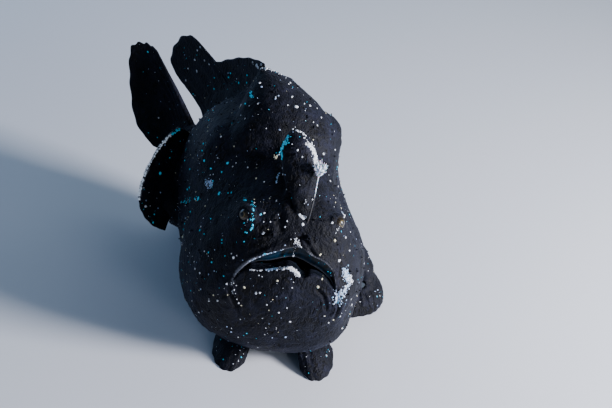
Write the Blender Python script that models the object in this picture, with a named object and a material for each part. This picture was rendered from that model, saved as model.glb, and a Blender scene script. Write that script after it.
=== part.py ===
"""Giant frogfish, a still life-size model that sits on its belly.

The fish is drawn straight, facing -Y with its left side towards +X, and then bent to its right.
Lengths are millimetres until a mesh is made, and metres in every mesh.
"""

import bpy
import bmesh
import numpy as np
from mathutils import Matrix, Vector
from mathutils.bvhtree import BVHTree

MM = 0.001
GAP = 0.3
SKIN_GAP = 0.36
FLOOR_CUT = 0.0

# Trunk stations from the snout to the end of the tail stalk. Each row belongs to the same stations.
STATION = (0.00, 0.05, 0.10, 0.16, 0.23, 0.31, 0.41, 0.52, 0.62, 0.72, 0.82, 0.91, 1.00)
ALONG = (-100, -98, -94, -86, -74, -57, -35, -8, 19, 44, 66, 82, 97)
TOP = (58, 76, 91, 103, 113, 123, 132, 137, 133, 117, 94, 79, 72)
BOTTOM = (58, 38, 22, 12, 5, 0, -1.4, -1.4, 2, 10, 22, 31, 38)
HALF_WIDTH = (0, 22, 34, 43, 50, 54, 55, 52, 47, 39, 28, 16, 6)
WIDEST_LEVEL = (58, 54, 48, 43, 40, 40, 43, 50, 54, 56, 56, 56, 55)
KEEL = (1, 1, 1, 1, 1.1, 1.35, 1.35, 1.05, 0.88, 0.9, 0.95, 1, 1)
BELLY_FULLNESS = 0.82
TRUNK_RINGS = 40
TRUNK_SIDES = 40

# The curve of the body: turn to the fish's right, in degrees, at places along the straight fish.
TURN_AT = ((-160, -88, -50, -20, 20, 60, 97, 220), (0, 0, 12, 21, 30, 39, 44, 44))
AXIS_HEIGHT = 66
HEAD_CUT = -40
TAIL_CUT = 58

# Soft relief on the trunk: centre of each swelling on the left side, its radius and its height.
RELIEF = (
    ((26, -80, 103), 11, 4.0),
    ((33, -92, 58), 10, 2.6),
    ((46, -72, 48), 20, 2.5),
    ((0, -99, 64), 22, 3.0),
    ((0, -93, 99), 9, -1.2),
    ((0, -82, 108), 11, 2.0),
    ((52, -34, 32), 22, 3.0),
    ((34, -10, 120), 18, 6.0),
)
# The head turns a little, so its left side is leaner at the jowl and at the neck, fuller above them.
LEFT_RELIEF = (
    ((48, -76, 42), 22, -9.0),
    ((39, -38.5, 89.5), 19.5, -11.0),
    ((39, -61.5, 91), 12, -2.8),
    ((31, -20, 126), 15, 7.5),
)

MOUTH_HALF_WIDTH = 28.5
MOUTH_LEVEL = 64
MOUTH_RISE = 27
MOUTH_OPENING = 5.5
JAW_DEPTH = 74
JAW_BACK = -62
LIP_RADIUS = 2.3
EYE_RADIUS = 4.6
EYE_PLACE = (26.5, 102.5)
EYE_SUNK = 2.2
EYE_LOOK = (0.66, -0.66, 0.36)
LID_RADIUS = 1.5
NOSTRIL_PLACE = (9.5, 98)

# Free spines: the middle line from root to tip, then half widths across and fore and aft.
LURE_ROD = (
    [(8, -85, 102), (9.5, -83, 112), (10.5, -79.5, 120), (11, -76, 127)],
    (0.9, 0.75, 0.65, 0.65), (0.9, 0.75, 0.65, 0.65),
)
SECOND_SPINE = (
    [(4, -77, 103), (3.5, -74, 116), (2.5, -68, 128), (-0.5, -61, 140), (-3, -55, 147)],
    (5, 7.5, 10, 8.6, 2), (5, 5.6, 6.4, 5.6, 2),
)
THIRD_SPINE = (
    [(0, -32, 92), (2, -19, 118), (-1, -4, 139.5), (-4, 8, 155.5)], (22, 34.5, 20, 4.5), (18, 25, 17.5, 4),
)
LURE_CENTRE = (11.5, -74.0, 133.0)
LURE_BUDS = 7

# Median fins of the straight fish: root and margin from front to back, bow, rays, rows, root half thickness.
MEDIAN_FINS = {
    "soft_dorsal_fin": (
        [(0, 8, 134), (0, 42, 115), (0, 76, 86)],
        [(0, 14, 155), (0, 30, 151), (0, 45, 145), (0, 60, 137), (0, 73, 130), (0, 84, 131),
         (0, 95, 138), (0, 108, 135), (0, 118, 123), (0, 120, 110), (0, 107, 101), (0, 88, 97)],
        (3, 0, 0), 13, 7, 2.4,
    ),
    "anal_fin": (
        [(0, 46, 14), (0, 62, 24), (0, 80, 35)],
        [(0, 56, 3), (0, 74, 2), (0, 91, 8), (0, 97, 24)],
        (-2, 0, 0), 8, 6, 2.2,
    ),
}
# The fins below are placed on the bent fish, from the same kinds of values.
CAUDAL_FIN = (
    [(-70, 68, 70), (-75, 72, 57), (-75, 73, 43)],
    [(-105, 103, 114), (-114, 107, 116), (-124, 109, 110), (-123, 103, 86), (-116, 93, 60),
     (-102, 84, 47)],
    (5, 6, 0), 9, 9, 2.6,
)
# Arms from the flank to the wrist, then each hand's root, margin and bow.
ARM_SIZE = ((12, 11.5, 9.5, 7), (13, 11, 8, 5))
ARMS = {
    "left": (
        [(24, 6, 36), (42, 2, 30), (53, -3, 22), (57, -8, 14)],
        [(59, 5, 16), (59, -8, 14), (50, -18, 11)],
        [(65, 17, 4), (70, 5, 0.2), (70, -9, 0), (63, -22, 0), (48, -31, 1)],
        (2, -2, 3),
    ),
    "right": (
        [(-56, 0, 44), (-70, 4, 47), (-77, 6, 53), (-80, 8, 60)],
        [(-72, 17, 63), (-79, 9, 60), (-81, 1, 53), (-77, -3, 46)],
        [(-70, 30, 90), (-78, 22, 97), (-87, 9, 90), (-94, -3, 76), (-96, -12, 64), (-93, -16, 54),
         (-86, -16, 45), (-78, -12, 39)],
        (-3, -2, 2),
    ),
}
HAND_RAYS = 11
PELVIC_FIN = (
    [(13, -72, 13), (18, -65, 11), (25, -57, 9)],
    [(17, -89, 2), (24, -95, 0), (32, -92, 0), (37, -80, 0), (37, -66, 2)],
    (0, 0, 3), 6, 6, 3.0,
)
FIN_EDGE = 0.6
FIN_RIDGE = 0.58
FIN_SCALLOP = 0.02

BLACK = (0.010, 0.011, 0.014)


def through(places, values, at):
    """A smooth curve through named places, with slopes taken from each place's neighbours."""
    xs = np.asarray(places, float)
    ys = np.asarray(values, float)
    slope = np.gradient(ys, xs)
    i = np.clip(np.searchsorted(xs, at, side="right") - 1, 0, len(xs) - 2)
    step = xs[i + 1] - xs[i]
    s = (at - xs[i]) / step
    rise = (2 * s**3 - 3 * s**2 + 1) * ys[i] + (3 * s**2 - 2 * s**3) * ys[i + 1]
    return rise + step * ((s**3 - 2 * s**2 + s) * slope[i] + (s**3 - s**2) * slope[i + 1])


def bend(points):
    """The straight fish laid along its curved centre line; heights stay as they are."""
    line = np.linspace(-160, 220, 761)
    even = np.ones(41) / 41
    turn = np.radians(np.convolve(np.pad(np.interp(line, *TURN_AT), 20, "edge"), even, "valid"))
    step = line[1] - line[0]
    centre = np.cumsum(np.stack([-np.sin(turn), np.cos(turn)], -1), axis=0) * step
    start = np.searchsorted(line, -85)
    centre += (0, line[start]) - centre[start]
    across, along, height = np.moveaxis(np.asarray(points, float), -1, 0)
    angle = np.interp(along, line, turn)
    x = np.interp(along, line, centre[:, 0]) + across * np.cos(angle)
    y = np.interp(along, line, centre[:, 1]) + across * np.sin(angle)
    return np.stack([x, y, height], -1)


def trunk_section(t, v):
    """A point of the smooth trunk: t runs from snout to tail, v turns once round the section."""
    top, bottom, width, widest, keel = (
        through(STATION, row, t) for row in (TOP, BOTTOM, HALF_WIDTH, WIDEST_LEVEL, KEEL)
    )
    c, s = np.cos(v), np.sin(v)
    x = width * np.sign(c) * np.abs(c) ** np.where(s > 0, keel, BELLY_FULLNESS)
    z = np.where(s > 0, (top - widest) * np.abs(s) ** 0.88, -(widest - bottom) * np.abs(s) ** 0.85)
    return np.stack([x, through(STATION, ALONG, t) + 0 * x, widest + z], -1)


def trunk_grid(rings, sides):
    """The trunk with its relief, straight, as rings from the snout to the tail."""
    t, v = np.meshgrid(
        np.linspace(0, 1, rings) ** 1.15, np.arange(sides) * 2 * np.pi / sides, indexing="ij"
    )
    grid = trunk_section(t, v)
    across = np.roll(grid, -1, 1) - np.roll(grid, 1, 1)
    normal = np.cross(np.gradient(grid, axis=0), across)
    normal[0] = (0, -1, 0)
    normal[-1] = (0, 1, 0)
    normal /= np.linalg.norm(normal, axis=-1)[..., None]
    both = [(True, *swelling) for swelling in RELIEF]
    left = [(False, *swelling) for swelling in LEFT_RELIEF]
    for mirrored, centre, radius, height in both + left:
        across = np.abs(grid[..., :1]) if mirrored else grid[..., :1]
        away = np.concatenate([across, grid[..., 1:]], -1) - centre
        grid = grid + normal * height * np.exp(-(away**2).sum(-1) / radius**2)[..., None]
    return grid


def mesh_object(name, points, faces, collection):
    mesh = bpy.data.meshes.new(name)
    mesh.from_pydata((np.asarray(points) * MM).tolist(), [], [tuple(map(int, f)) for f in faces])
    made = bpy.data.objects.new(name, mesh)
    collection.objects.link(made)
    return made


def outward(mesh_owner):
    """Turns every face of a closed mesh outwards."""
    shell = bmesh.new()
    shell.from_mesh(mesh_owner.data)
    bmesh.ops.recalc_face_normals(shell, faces=shell.faces)
    if shell.calc_volume(signed=True) < 0:
        bmesh.ops.reverse_faces(shell, faces=shell.faces)
    shell.to_mesh(mesh_owner.data)
    shell.free()
    return mesh_owner


def loft(name, grid, collection):
    """A closed body from rings of points, its two end rings drawn together to a point."""
    rings, sides = grid.shape[:2]
    points = [grid[0].mean(0), *grid[1:-1].reshape(-1, 3), grid[-1].mean(0)]
    ring = np.arange(sides)
    ahead = (ring + 1) % sides
    faces = [(0, 1 + b, 1 + a) for a, b in zip(ring, ahead)]
    for row in range(rings - 3):
        low = 1 + row * sides
        high = low + sides
        faces += [(low + a, low + b, high + b) for a, b in zip(ring, ahead)]
        faces += [(low + a, high + b, high + a) for a, b in zip(ring, ahead)]
    last = 1 + (rings - 3) * sides
    faces += [(last + a, last + b, len(points) - 1) for a, b in zip(ring, ahead)]
    return outward(mesh_object(name, points, faces, collection))


def tube_grid(path, wide, thick, side, rings, sides, grow=0.0):
    """Rings along a smooth path, each an ellipse with its wide axis near the given side."""
    path = np.asarray(path, float)
    marks = np.linspace(0, 1, len(path))
    at = (1 - np.cos(np.linspace(0, np.pi, rings))) / 2
    centre = np.stack([through(marks, path[:, k], at) for k in range(3)], -1)
    course = np.gradient(centre, axis=0)
    course /= np.linalg.norm(course, axis=1)[:, None]
    across = np.asarray(side, float) - course * (course @ np.asarray(side, float))[:, None]
    across /= np.linalg.norm(across, axis=1)[:, None]
    other = np.cross(course, across)
    turn = np.arange(sides) * 2 * np.pi / sides
    cap = np.sqrt(np.clip(1 - (2 * np.abs(at - 0.5)) ** 6, 0, 1))[:, None, None]
    wide = (through(marks, wide, at) + grow)[:, None, None] * np.cos(turn)[None, :, None]
    thick = (through(marks, thick, at) + grow)[:, None, None] * np.sin(turn)[None, :, None]
    ends = np.where(at < 0.5, -grow, grow)[:, None, None] * course[:, None]
    return centre[:, None] + cap * (wide * across[:, None] + thick * other[:, None]) + ends


def fin_grid(root, margin, camber, rays, rows, scallop):
    """Middle sheet of a fin: rays run from the root curve to the margin curve, bowed to one side."""
    columns = np.concatenate([[k, k + 0.34, k + 0.66] for k in range(rays)] + [[rays]]) / rays
    u, w = np.meshgrid(columns, np.linspace(0, 1, rows), indexing="ij")
    crest = 0.5 - 0.5 * np.cos(2 * np.pi * rays * u)
    foot = np.stack([through(np.linspace(0, 1, len(root)), np.asarray(root, float)[:, k], u)
                     for k in range(3)], -1)
    edge = np.stack([through(np.linspace(0, 1, len(margin)), np.asarray(margin, float)[:, k], u)
                     for k in range(3)], -1)
    reach = (w * (1 - scallop * (1 - crest) * w**4))[..., None]
    bow = np.asarray(camber, float) * (np.sin(np.pi * w) * np.sin(np.pi * u))[..., None]
    return foot + (edge - foot) * reach + bow, crest, w


def plate(name, sheet, crest, w, root_half, edge_half, ridge, collection):
    """A closed thin fin: the sheet moved both ways by its half thickness, with ridges for the rays."""
    normal = np.cross(np.gradient(sheet, axis=0), np.gradient(sheet, axis=1))
    normal /= np.linalg.norm(normal, axis=-1)[..., None]
    half = root_half + (edge_half - root_half) * w**0.8 + ridge * crest * (1 - 0.6 * w)
    columns, rows = w.shape
    count = columns * rows
    points = np.concatenate([(sheet + k * normal * half[..., None]).reshape(-1, 3) for k in (1, -1)])
    index = np.arange(count).reshape(columns, rows)
    a, b = index[:-1, :-1].ravel(), index[1:, :-1].ravel()
    c, d = index[1:, 1:].ravel(), index[:-1, 1:].ravel()
    faces = [*zip(a, b, c), *zip(a, c, d)]
    faces += [(f[0] + count, f[2] + count, f[1] + count) for f in faces]
    rim = [*index[:, 0], *index[-1, 1:], *index[-2::-1, -1], *index[0, -2:0:-1]]
    for here, there in zip(rim, rim[1:] + rim[:1]):
        faces += [(here, here + count, there + count), (here, there + count, there)]
    return outward(mesh_object(name, points, faces, collection))


def apply_all(made):
    """Replaces an object's mesh by what its modifiers make of it."""
    graph = bpy.context.evaluated_depsgraph_get()
    graph.update()
    result = bpy.data.meshes.new_from_object(made.evaluated_get(graph))
    made.modifiers.clear()
    made.data = result
    return made


def combine(made, operation, *others, solver="EXACT"):
    """One Boolean after another, applied."""
    for other in others:
        step = made.modifiers.new(operation.title(), "BOOLEAN")
        step.operation = operation
        step.solver = solver
        step.object = other
        apply_all(made)
    return made


def fuse(made, pieces):
    """One union with a collection of closed pieces, which are then removed."""
    bits = bpy.data.collections.new(made.name + "_bits")
    bpy.context.scene.collection.children.link(bits)
    for piece in pieces:
        for home in list(piece.users_collection):
            home.objects.unlink(piece)
        bits.objects.link(piece)
    step = made.modifiers.new("Union", "BOOLEAN")
    step.operand_type = "COLLECTION"
    step.collection = bits
    step.operation = "UNION"
    apply_all(made)
    for piece in pieces:
        bpy.data.objects.remove(piece)
    bpy.data.collections.remove(bits)
    return made


def keep_largest(made):
    """Merges the doubles and keeps only the largest closed surface."""
    shell = bmesh.new()
    shell.from_mesh(made.data)
    bmesh.ops.remove_doubles(shell, verts=shell.verts, dist=0.00002)
    bmesh.ops.dissolve_degenerate(shell, edges=shell.edges, dist=0.00001)
    bmesh.ops.triangulate(shell, faces=shell.faces)
    left = set(shell.faces)
    islands = []
    while left:
        front = [left.pop()]
        island = set(front)
        while front:
            near = {f for e in front.pop().edges for f in e.link_faces} & left
            left -= near
            island |= near
            front += near
        islands.append(island)
    largest = max(islands, key=lambda faces: sum(f.calc_area() for f in faces))
    drop = [f for island in islands if island is not largest for f in island]
    bmesh.ops.delete(shell, geom=drop, context="FACES")
    bmesh.ops.delete(shell, geom=[v for v in shell.verts if not v.link_faces], context="VERTS")
    shell.to_mesh(made.data)
    shell.free()
    return made


def finish(made, colour=BLACK, roughness=0.85):
    """Gives the node its own material and smooth shading."""
    material = bpy.data.materials.new(made.name + "_finish")
    material.use_nodes = True
    shader = material.node_tree.nodes["Principled BSDF"]
    shader.inputs["Base Color"].default_value = (*colour, 1)
    shader.inputs["Roughness"].default_value = roughness
    shader.inputs["Metallic"].default_value = 0
    made.data.materials.clear()
    made.data.materials.append(material)
    made.data.shade_smooth()
    made.data.set_sharp_from_angle(angle=0.7)
    return made


def block(name, low, high, frame, collection):
    """A box between two corners of a turned frame, for use as a cutter."""
    low, high = np.asarray(low, float), np.asarray(high, float)
    shell = bmesh.new()
    size = Matrix.Diagonal((*((high - low) * MM), 1))
    place = Matrix.Translation(Vector((high + low) / 2 * MM))
    bmesh.ops.create_cube(shell, size=1, matrix=frame @ place @ size)
    mesh = bpy.data.meshes.new(name)
    shell.to_mesh(mesh)
    shell.free()
    made = bpy.data.objects.new(name, mesh)
    collection.objects.link(made)
    return made


def frame_at(place):
    """The frame of the bent fish where the straight fish has this place: side, along and up."""
    probe = np.array([(0, place, AXIS_HEIGHT), (1, place, AXIS_HEIGHT), (0, place, AXIS_HEIGHT + 1)])
    origin, side, up = bend(probe)
    side, up = side - origin, up - origin
    frame = Matrix((side, np.cross(up, side), up)).transposed().to_4x4()
    return Matrix.Translation(Vector(origin * MM)) @ frame


def ball(name, centre, radius, collection, segments=14, rings=9):
    shell = bmesh.new()
    bmesh.ops.create_uvsphere(
        shell, u_segments=segments, v_segments=rings, radius=radius * MM,
        matrix=Matrix.Translation(Vector(centre) * MM),
    )
    bmesh.ops.triangulate(shell, faces=shell.faces)
    mesh = bpy.data.meshes.new(name)
    shell.to_mesh(mesh)
    shell.free()
    made = bpy.data.objects.new(name, mesh)
    collection.objects.link(made)
    return made


def mouth_outline(turn, grow, opening, along):
    """The oval that the lower jaw fills, seen from the front; its upper half is the mouth's arch."""
    c, s = np.cos(turn), np.sin(turn)
    x = (MOUTH_HALF_WIDTH + grow) * c
    gape = opening * np.clip((-78 - along) / 10, 0, 1) * (1 + 0.012 * x)
    rise = (MOUTH_RISE + grow) * np.abs(s) ** 1.1 - gape * np.abs(s) ** 1.5
    z = MOUTH_LEVEL + np.where(s > 0, rise, (JAW_DEPTH + grow) * s)
    return np.stack([x, along + 0 * x, z], -1)


def mouth_volume(name, grow, opening, collection):
    """The jaw's share of the head, as a body that runs in from the front of the face."""
    turn = np.arange(44) * 2 * np.pi / 44
    stops = (-120, -119, -100, -94, -88, -83, -78, -70, JAW_BACK + grow - 0.01, JAW_BACK + grow)
    rings = np.stack([mouth_outline(turn, grow, opening, y) for y in stops])
    return loft(name, rings, collection)


def face_point(tree, x, z):
    """The point of the skin straight behind a place in the front view."""
    hit = tree.ray_cast(Vector((x, -200, z)) * MM, Vector((0, 1, 0)))[0]
    return np.array(hit) / MM


def lip(name, tree, lift, radius, opening, collection):
    """A lip: a roll along the arch of the mouth, thin at its corners."""
    turn = np.linspace(-0.06, np.pi + 0.06, 13)
    arch = mouth_outline(turn, lift, opening, np.full(13, -96.0))
    path = [face_point(tree, p[0], p[2]) for p in arch]
    size = radius * (0.45 + 0.55 * np.sin(np.linspace(0, np.pi, 13)) ** 0.6)
    return loft(name, tube_grid(path, size, size, (0, -1, 0.2), 27, 8), collection)


def eye_seat(tree, side):
    """Centre of an eyeball sunk in the skin, and the way it looks."""
    look = np.array(EYE_LOOK) * (side, 1, 1)
    look /= np.linalg.norm(look)
    return face_point(tree, side * EYE_PLACE[0], EYE_PLACE[1]) - EYE_SUNK * look, look


def eyelid(centre, look, collection):
    """A roll of skin round the eye, lower than it is wide."""
    across = np.cross(look, (0, 0, 1))
    across /= np.linalg.norm(across)
    upward = np.cross(across, look)
    turn = np.arange(16) * 2 * np.pi / 16
    spokes = np.cos(turn)[:, None] * across + 0.86 * np.sin(turn)[:, None] * upward
    hoop = centre + 1.2 * look + (EYE_RADIUS + 0.5) * spokes
    small = np.arange(7) * 2 * np.pi / 7
    rings = hoop[:, None] + LID_RADIUS * (
        np.cos(small)[None, :, None] * spokes[:, None] + np.sin(small)[None, :, None] * look
    )
    return torus("lid", rings, collection)


def clear_scene():
    for old in list(bpy.data.objects):
        bpy.data.objects.remove(old)
    parts = bpy.data.collections.new("frogfish")
    tools = bpy.data.collections.new("cutters")
    for home in (parts, tools):
        bpy.context.scene.collection.children.link(home)
    return parts, tools


def build_trunk(parts, tools):
    """Head, lower jaw, torso and tail, parted from one body by thin cuts."""
    straight = trunk_grid(TRUNK_RINGS, TRUNK_SIDES)
    bent = bend(straight)
    whole = loft("whole_trunk", bent, tools)
    corner = np.array([v.co for v in whole.data.vertices]) / MM
    tree = BVHTree.FromPolygons(
        [v.co for v in whole.data.vertices], [p.vertices for p in whole.data.polygons]
    )
    whole.data.update()
    normals = np.array([v.normal for v in whole.data.vertices])
    clearance = whole.copy()
    clearance.data = whole.data.copy()
    clearance.name = "trunk_clearance"
    tools.objects.link(clearance)
    flat = ((corner + normals * SKIN_GAP) * MM).astype(np.float32).ravel()
    clearance.data.vertices.foreach_set("co", flat)

    neck, stalk = frame_at(HEAD_CUT), frame_at(TAIL_CUT)
    half, far = GAP / 2, 260
    behind_neck = block("behind_neck", (-far, -half, -far), (far, far, far), neck, tools)
    before_neck = block("before_neck", (-far, -far, -far), (far, half, far), neck, tools)
    behind_stalk = block("behind_stalk", (-far, -half, -far), (far, far, far), stalk, tools)
    before_stalk = block("before_stalk", (-far, -far, -far), (far, half, far), stalk, tools)
    floor = block("floor_cut", (-far, -far, -far), (far, far, FLOOR_CUT), Matrix.Identity(4), tools)
    jaw_outer = mouth_volume("jaw_outer", GAP / 2, 0, tools)
    jaw_inner = mouth_volume("jaw_inner", -GAP / 2, 0, tools)
    jaw_open = mouth_volume("jaw_open", -GAP / 2, MOUTH_OPENING, tools)

    def share(name):
        piece = whole.copy()
        piece.data = whole.data.copy()
        piece.name = name
        parts.objects.link(piece)
        return piece

    head = share("head")
    rolls = [lip("upper_lip", tree, 1.4, LIP_RADIUS, 0, tools)]
    sockets = []
    for side in (-1, 1):
        mirror = np.array((side, 1, 1))
        centre, look = eye_seat(tree, side)
        rolls.append(eyelid(centre, look, tools))
        sockets.append(ball("socket", centre, EYE_RADIUS + GAP, tools))
        rim = face_point(tree, side * NOSTRIL_PLACE[0], NOSTRIL_PLACE[1])
        course = mirror * (0.3, -1, 0.35)
        rolls.append(cone("nostril_rim", rim + (0, 1.5, 0), course, 1.9, 1.2, 4.2, tools))
        sockets.append(cone("nostril_bore", rim, course, 0.6, 0.7, 7, tools))
    fuse(head, rolls)
    combine(head, "DIFFERENCE", jaw_outer, behind_neck, floor, *sockets)
    keep_largest(head)

    jaw = share("lower_jaw")
    combine(jaw, "INTERSECT", jaw_open)
    fuse(jaw, [lip("lower_lip", tree, -2.0, LIP_RADIUS * 1.1, MOUTH_OPENING, tools)])
    combine(jaw, "INTERSECT", jaw_inner, solver="MANIFOLD")
    combine(jaw, "DIFFERENCE", floor)
    keep_largest(jaw)

    torso = combine(share("torso"), "DIFFERENCE", before_neck, behind_stalk, floor)
    tail = combine(share("tail"), "DIFFERENCE", before_stalk)
    for node in (torso, tail):
        keep_largest(node)
    for side, name in ((1, "eye_left"), (-1, "eye_right")):
        eye = ball(name, eye_seat(tree, side)[0], EYE_RADIUS, parts)
        finish(eye, (0.02, 0.018, 0.012), 0.15)
    return clearance, floor


def torus(name, rings, collection):
    """A closed roll from rings that run once round."""
    count, sides = rings.shape[:2]
    index = np.arange(count * sides).reshape(count, sides)
    a, b = index, np.roll(index, -1, 0)
    c, d = np.roll(b, -1, 1), np.roll(a, -1, 1)
    faces = [*zip(a.ravel(), b.ravel(), c.ravel()), *zip(a.ravel(), c.ravel(), d.ravel())]
    return outward(mesh_object(name, rings.reshape(-1, 3), faces, collection))


def cone(name, foot, course, wide, narrow, length, collection):
    """A short tapered stub along a course, from its foot."""
    shell = bmesh.new()
    turn = Vector(course).to_track_quat("Z", "Y").to_matrix().to_4x4()
    middle = Vector(foot) + Vector(course).normalized() * length / 2
    bmesh.ops.create_cone(
        shell, cap_ends=True, cap_tris=True, segments=9, radius1=wide * MM, radius2=narrow * MM,
        depth=length * MM, matrix=Matrix.Translation(middle * MM) @ turn,
    )
    mesh = bpy.data.meshes.new(name)
    shell.to_mesh(mesh)
    shell.free()
    made = bpy.data.objects.new(name, mesh)
    collection.objects.link(made)
    return made


def build_spines(parts, clearance):
    """The three free dorsal spines: the lure's rod, the club on the snout and the hump behind it."""
    spines = (
        ("second_dorsal_spine", SECOND_SPINE, 17, 14),
        ("third_dorsal_spine", THIRD_SPINE, 18, 20),
        ("illicium", LURE_ROD, 14, 6),
    )
    for name, shape, rings, sides in spines:
        spine = loft(name, bend(tube_grid(*shape, (1, 0, 0), rings, sides)), parts)
        keep_largest(combine(spine, "DIFFERENCE", clearance))


def build_esca(parts, tools):
    """The lure: a small ragged cluster on the end of its rod."""
    centre = np.array(LURE_CENTRE)
    middle = [centre + (-0.5, -1.5, -5.6), centre, centre + (0.5, 2.0, 5.6)]
    rings = tube_grid(middle, (2.0, 2.8, 1.4), (1.8, 2.4, 1.2), (1, 0, 0), 9, 10)
    core = loft("esca", bend(rings), parts)
    buds = []
    for k in range(LURE_BUDS):
        turn = k * 2.4
        lift = -3.5 + 1.3 * k
        out = np.array((np.cos(turn), -0.4 * abs(np.sin(turn)), 0.5))
        start = centre + (0, lift * 0.5, lift)
        reach = 4.6 if np.cos(turn) > -0.2 else 2.8
        path = [start, start + out * reach * 0.5, start + out * reach + (0, 0, 0.8)]
        rings = tube_grid(path, (1.3, 0.9, 0.6), (1.3, 0.9, 0.6), (0, 1, 0.3), 7, 6)
        buds.append(loft("bud", bend(rings), tools))
    fuse(core, buds)
    clear = loft("rod_clearance", bend(tube_grid(*LURE_ROD, (1, 0, 0), 14, 6, GAP)), tools)
    keep_largest(combine(core, "DIFFERENCE", clear))


def rayed_fin(name, root, margin, camber, rays, rows, root_half, parts):
    """A fin from its root curve to its margin curve."""
    sheet, crest, w = fin_grid(root, margin, camber, rays, rows, FIN_SCALLOP)
    return plate(name, sheet, crest, w, root_half, FIN_EDGE, FIN_RIDGE, parts)


def build_median_fins(parts, tools, clearance):
    """Soft dorsal, anal and caudal fins, each with its rays as ridges."""
    rings = tube_grid(*THIRD_SPINE, (1, 0, 0), 18, 20, GAP + 0.1)
    hump = loft("hump_clearance", bend(rings), tools)
    for name, (root, margin, *rest) in MEDIAN_FINS.items():
        fin = rayed_fin(name, bend(root), bend(margin), *rest, parts)
        combine(fin, "DIFFERENCE", clearance)
        if name == "soft_dorsal_fin":
            combine(fin, "DIFFERENCE", hump)
        keep_largest(fin)
    keep_largest(combine(rayed_fin("caudal_fin", *CAUDAL_FIN, parts), "DIFFERENCE", clearance))


def build_paired_fins(parts, tools, clearance, floor):
    """The pectoral arms with their hand-like fins, and the pelvic fins under the throat."""
    for side, (path, root, margin, camber) in ARMS.items():
        arm = loft("pectoral_arm_" + side, tube_grid(path, *ARM_SIZE, (0, 1, 0), 14, 14), parts)
        keep_largest(combine(arm, "DIFFERENCE", clearance, floor))
        wrist = loft("wrist", tube_grid(path, *ARM_SIZE, (0, 1, 0), 14, 14, SKIN_GAP), tools)
        fin = rayed_fin("pectoral_fin_" + side, root, margin, camber, HAND_RAYS, 7, 2.6, parts)
        keep_largest(combine(fin, "DIFFERENCE", wrist, clearance, floor))
    root, margin, *rest = PELVIC_FIN
    for side, name in ((1, "pelvic_fin_left"), (-1, "pelvic_fin_right")):
        mirror = np.array((side, 1, 1))
        fin = rayed_fin(name, root * mirror, margin * mirror, *rest, parts)
        keep_largest(combine(fin, "DIFFERENCE", clearance, floor))


def centre_on_floor(parts):
    """Moves the whole fish so that its box stands centred on the origin."""
    corners = np.concatenate([[tuple(v.co) for v in node.data.vertices] for node in parts.objects])
    middle = (corners.min(0) + corners.max(0)) / 2
    shift = Matrix.Translation((-middle[0], -middle[1], -corners[:, 2].min()))
    for node in parts.objects:
        node.data.transform(shift)
    print("moved by (mm)", [round(-m / MM, 3) for m in (*middle[:2], corners[:, 2].min())])


def main():
    parts, tools = clear_scene()
    clearance, floor = build_trunk(parts, tools)
    build_spines(parts, clearance)
    build_esca(parts, tools)
    build_median_fins(parts, tools, clearance)
    build_paired_fins(parts, tools, clearance, floor)
    centre_on_floor(parts)
    for node in parts.objects:
        if not node.data.materials:
            finish(node)
        print(node.name, len(node.data.polygons))
    for cutter in tools.objects:
        cutter.hide_render = True
        cutter.display_type = "WIRE"


main()
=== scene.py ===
# %% [markdown]
# A black giant frogfish, life size
#
# A frogfish is a soft bag of a fish: a deep, rounded body, a mouth that opens upwards, hand-like
# fins to sit on, and a lure on the snout. Its skin is loose, velvety and covered in small growths.
# The solids that were measured give its size and place. This script dresses them: one
# continuous skin, fins with fine rays, wet eyes, the lure, and the pale growths.

# %% Load the measured solids
import itertools
import math

import bmesh
import bpy
import numpy as np
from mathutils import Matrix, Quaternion, Vector
from mathutils.bvhtree import BVHTree
from mathutils.kdtree import KDTree


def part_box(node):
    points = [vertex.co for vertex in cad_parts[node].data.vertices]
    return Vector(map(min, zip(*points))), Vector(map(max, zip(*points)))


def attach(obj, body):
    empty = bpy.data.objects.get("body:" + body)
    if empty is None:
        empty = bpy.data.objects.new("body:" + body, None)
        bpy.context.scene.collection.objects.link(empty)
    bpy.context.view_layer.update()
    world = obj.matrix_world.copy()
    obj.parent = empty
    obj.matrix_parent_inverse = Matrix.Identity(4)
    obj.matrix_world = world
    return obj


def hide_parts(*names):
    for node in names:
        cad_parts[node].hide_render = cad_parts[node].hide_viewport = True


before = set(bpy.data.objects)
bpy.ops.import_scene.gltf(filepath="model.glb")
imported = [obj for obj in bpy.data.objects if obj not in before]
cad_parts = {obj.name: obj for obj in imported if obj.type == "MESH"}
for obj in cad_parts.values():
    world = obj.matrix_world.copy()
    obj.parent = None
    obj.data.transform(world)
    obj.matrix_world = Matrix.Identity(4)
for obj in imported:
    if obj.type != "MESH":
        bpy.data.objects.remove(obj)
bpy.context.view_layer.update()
print("solids:", ", ".join(sorted(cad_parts)))

# %% [markdown]
# Millimetres and the datum
#
# A modeller works in millimetres from a datum. Here the datum is the point midway between the two
# eyes. The fish faces -Y, and its left side is towards +X.

# %% Datum between the eyes
MM = 0.001
EYES_ALONG = -77.73


def middle_of(node):
    """Centre of a node's box, in millimetres."""
    low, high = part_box(node)
    return (np.array(low) + np.array(high)) / 2 / MM


between_eyes = (middle_of("eye_left") + middle_of("eye_right")) / 2
DATUM = np.array((between_eyes[0], between_eyes[1] - EYES_ALONG, 0.0))
print("datum (mm):", DATUM.round(2))

# %% [markdown]
# Camera
#
# The photo was taken from just above and in front of the fish, a little over half a metre away, with
# the camera tilted. The camera comes first, so that every later piece can be looked at.

# %% Camera
CAMERA_AZIMUTH = -2.71
CAMERA_ELEVATION = 31.4
CAMERA_ROLL = 8.38
CAMERA_DISTANCE = 560
CAMERA_AIM = (6.4, -79.5, 113.4)
FIELD_WIDTH = 612 / 1013
SENSOR_WIDTH = 36


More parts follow.
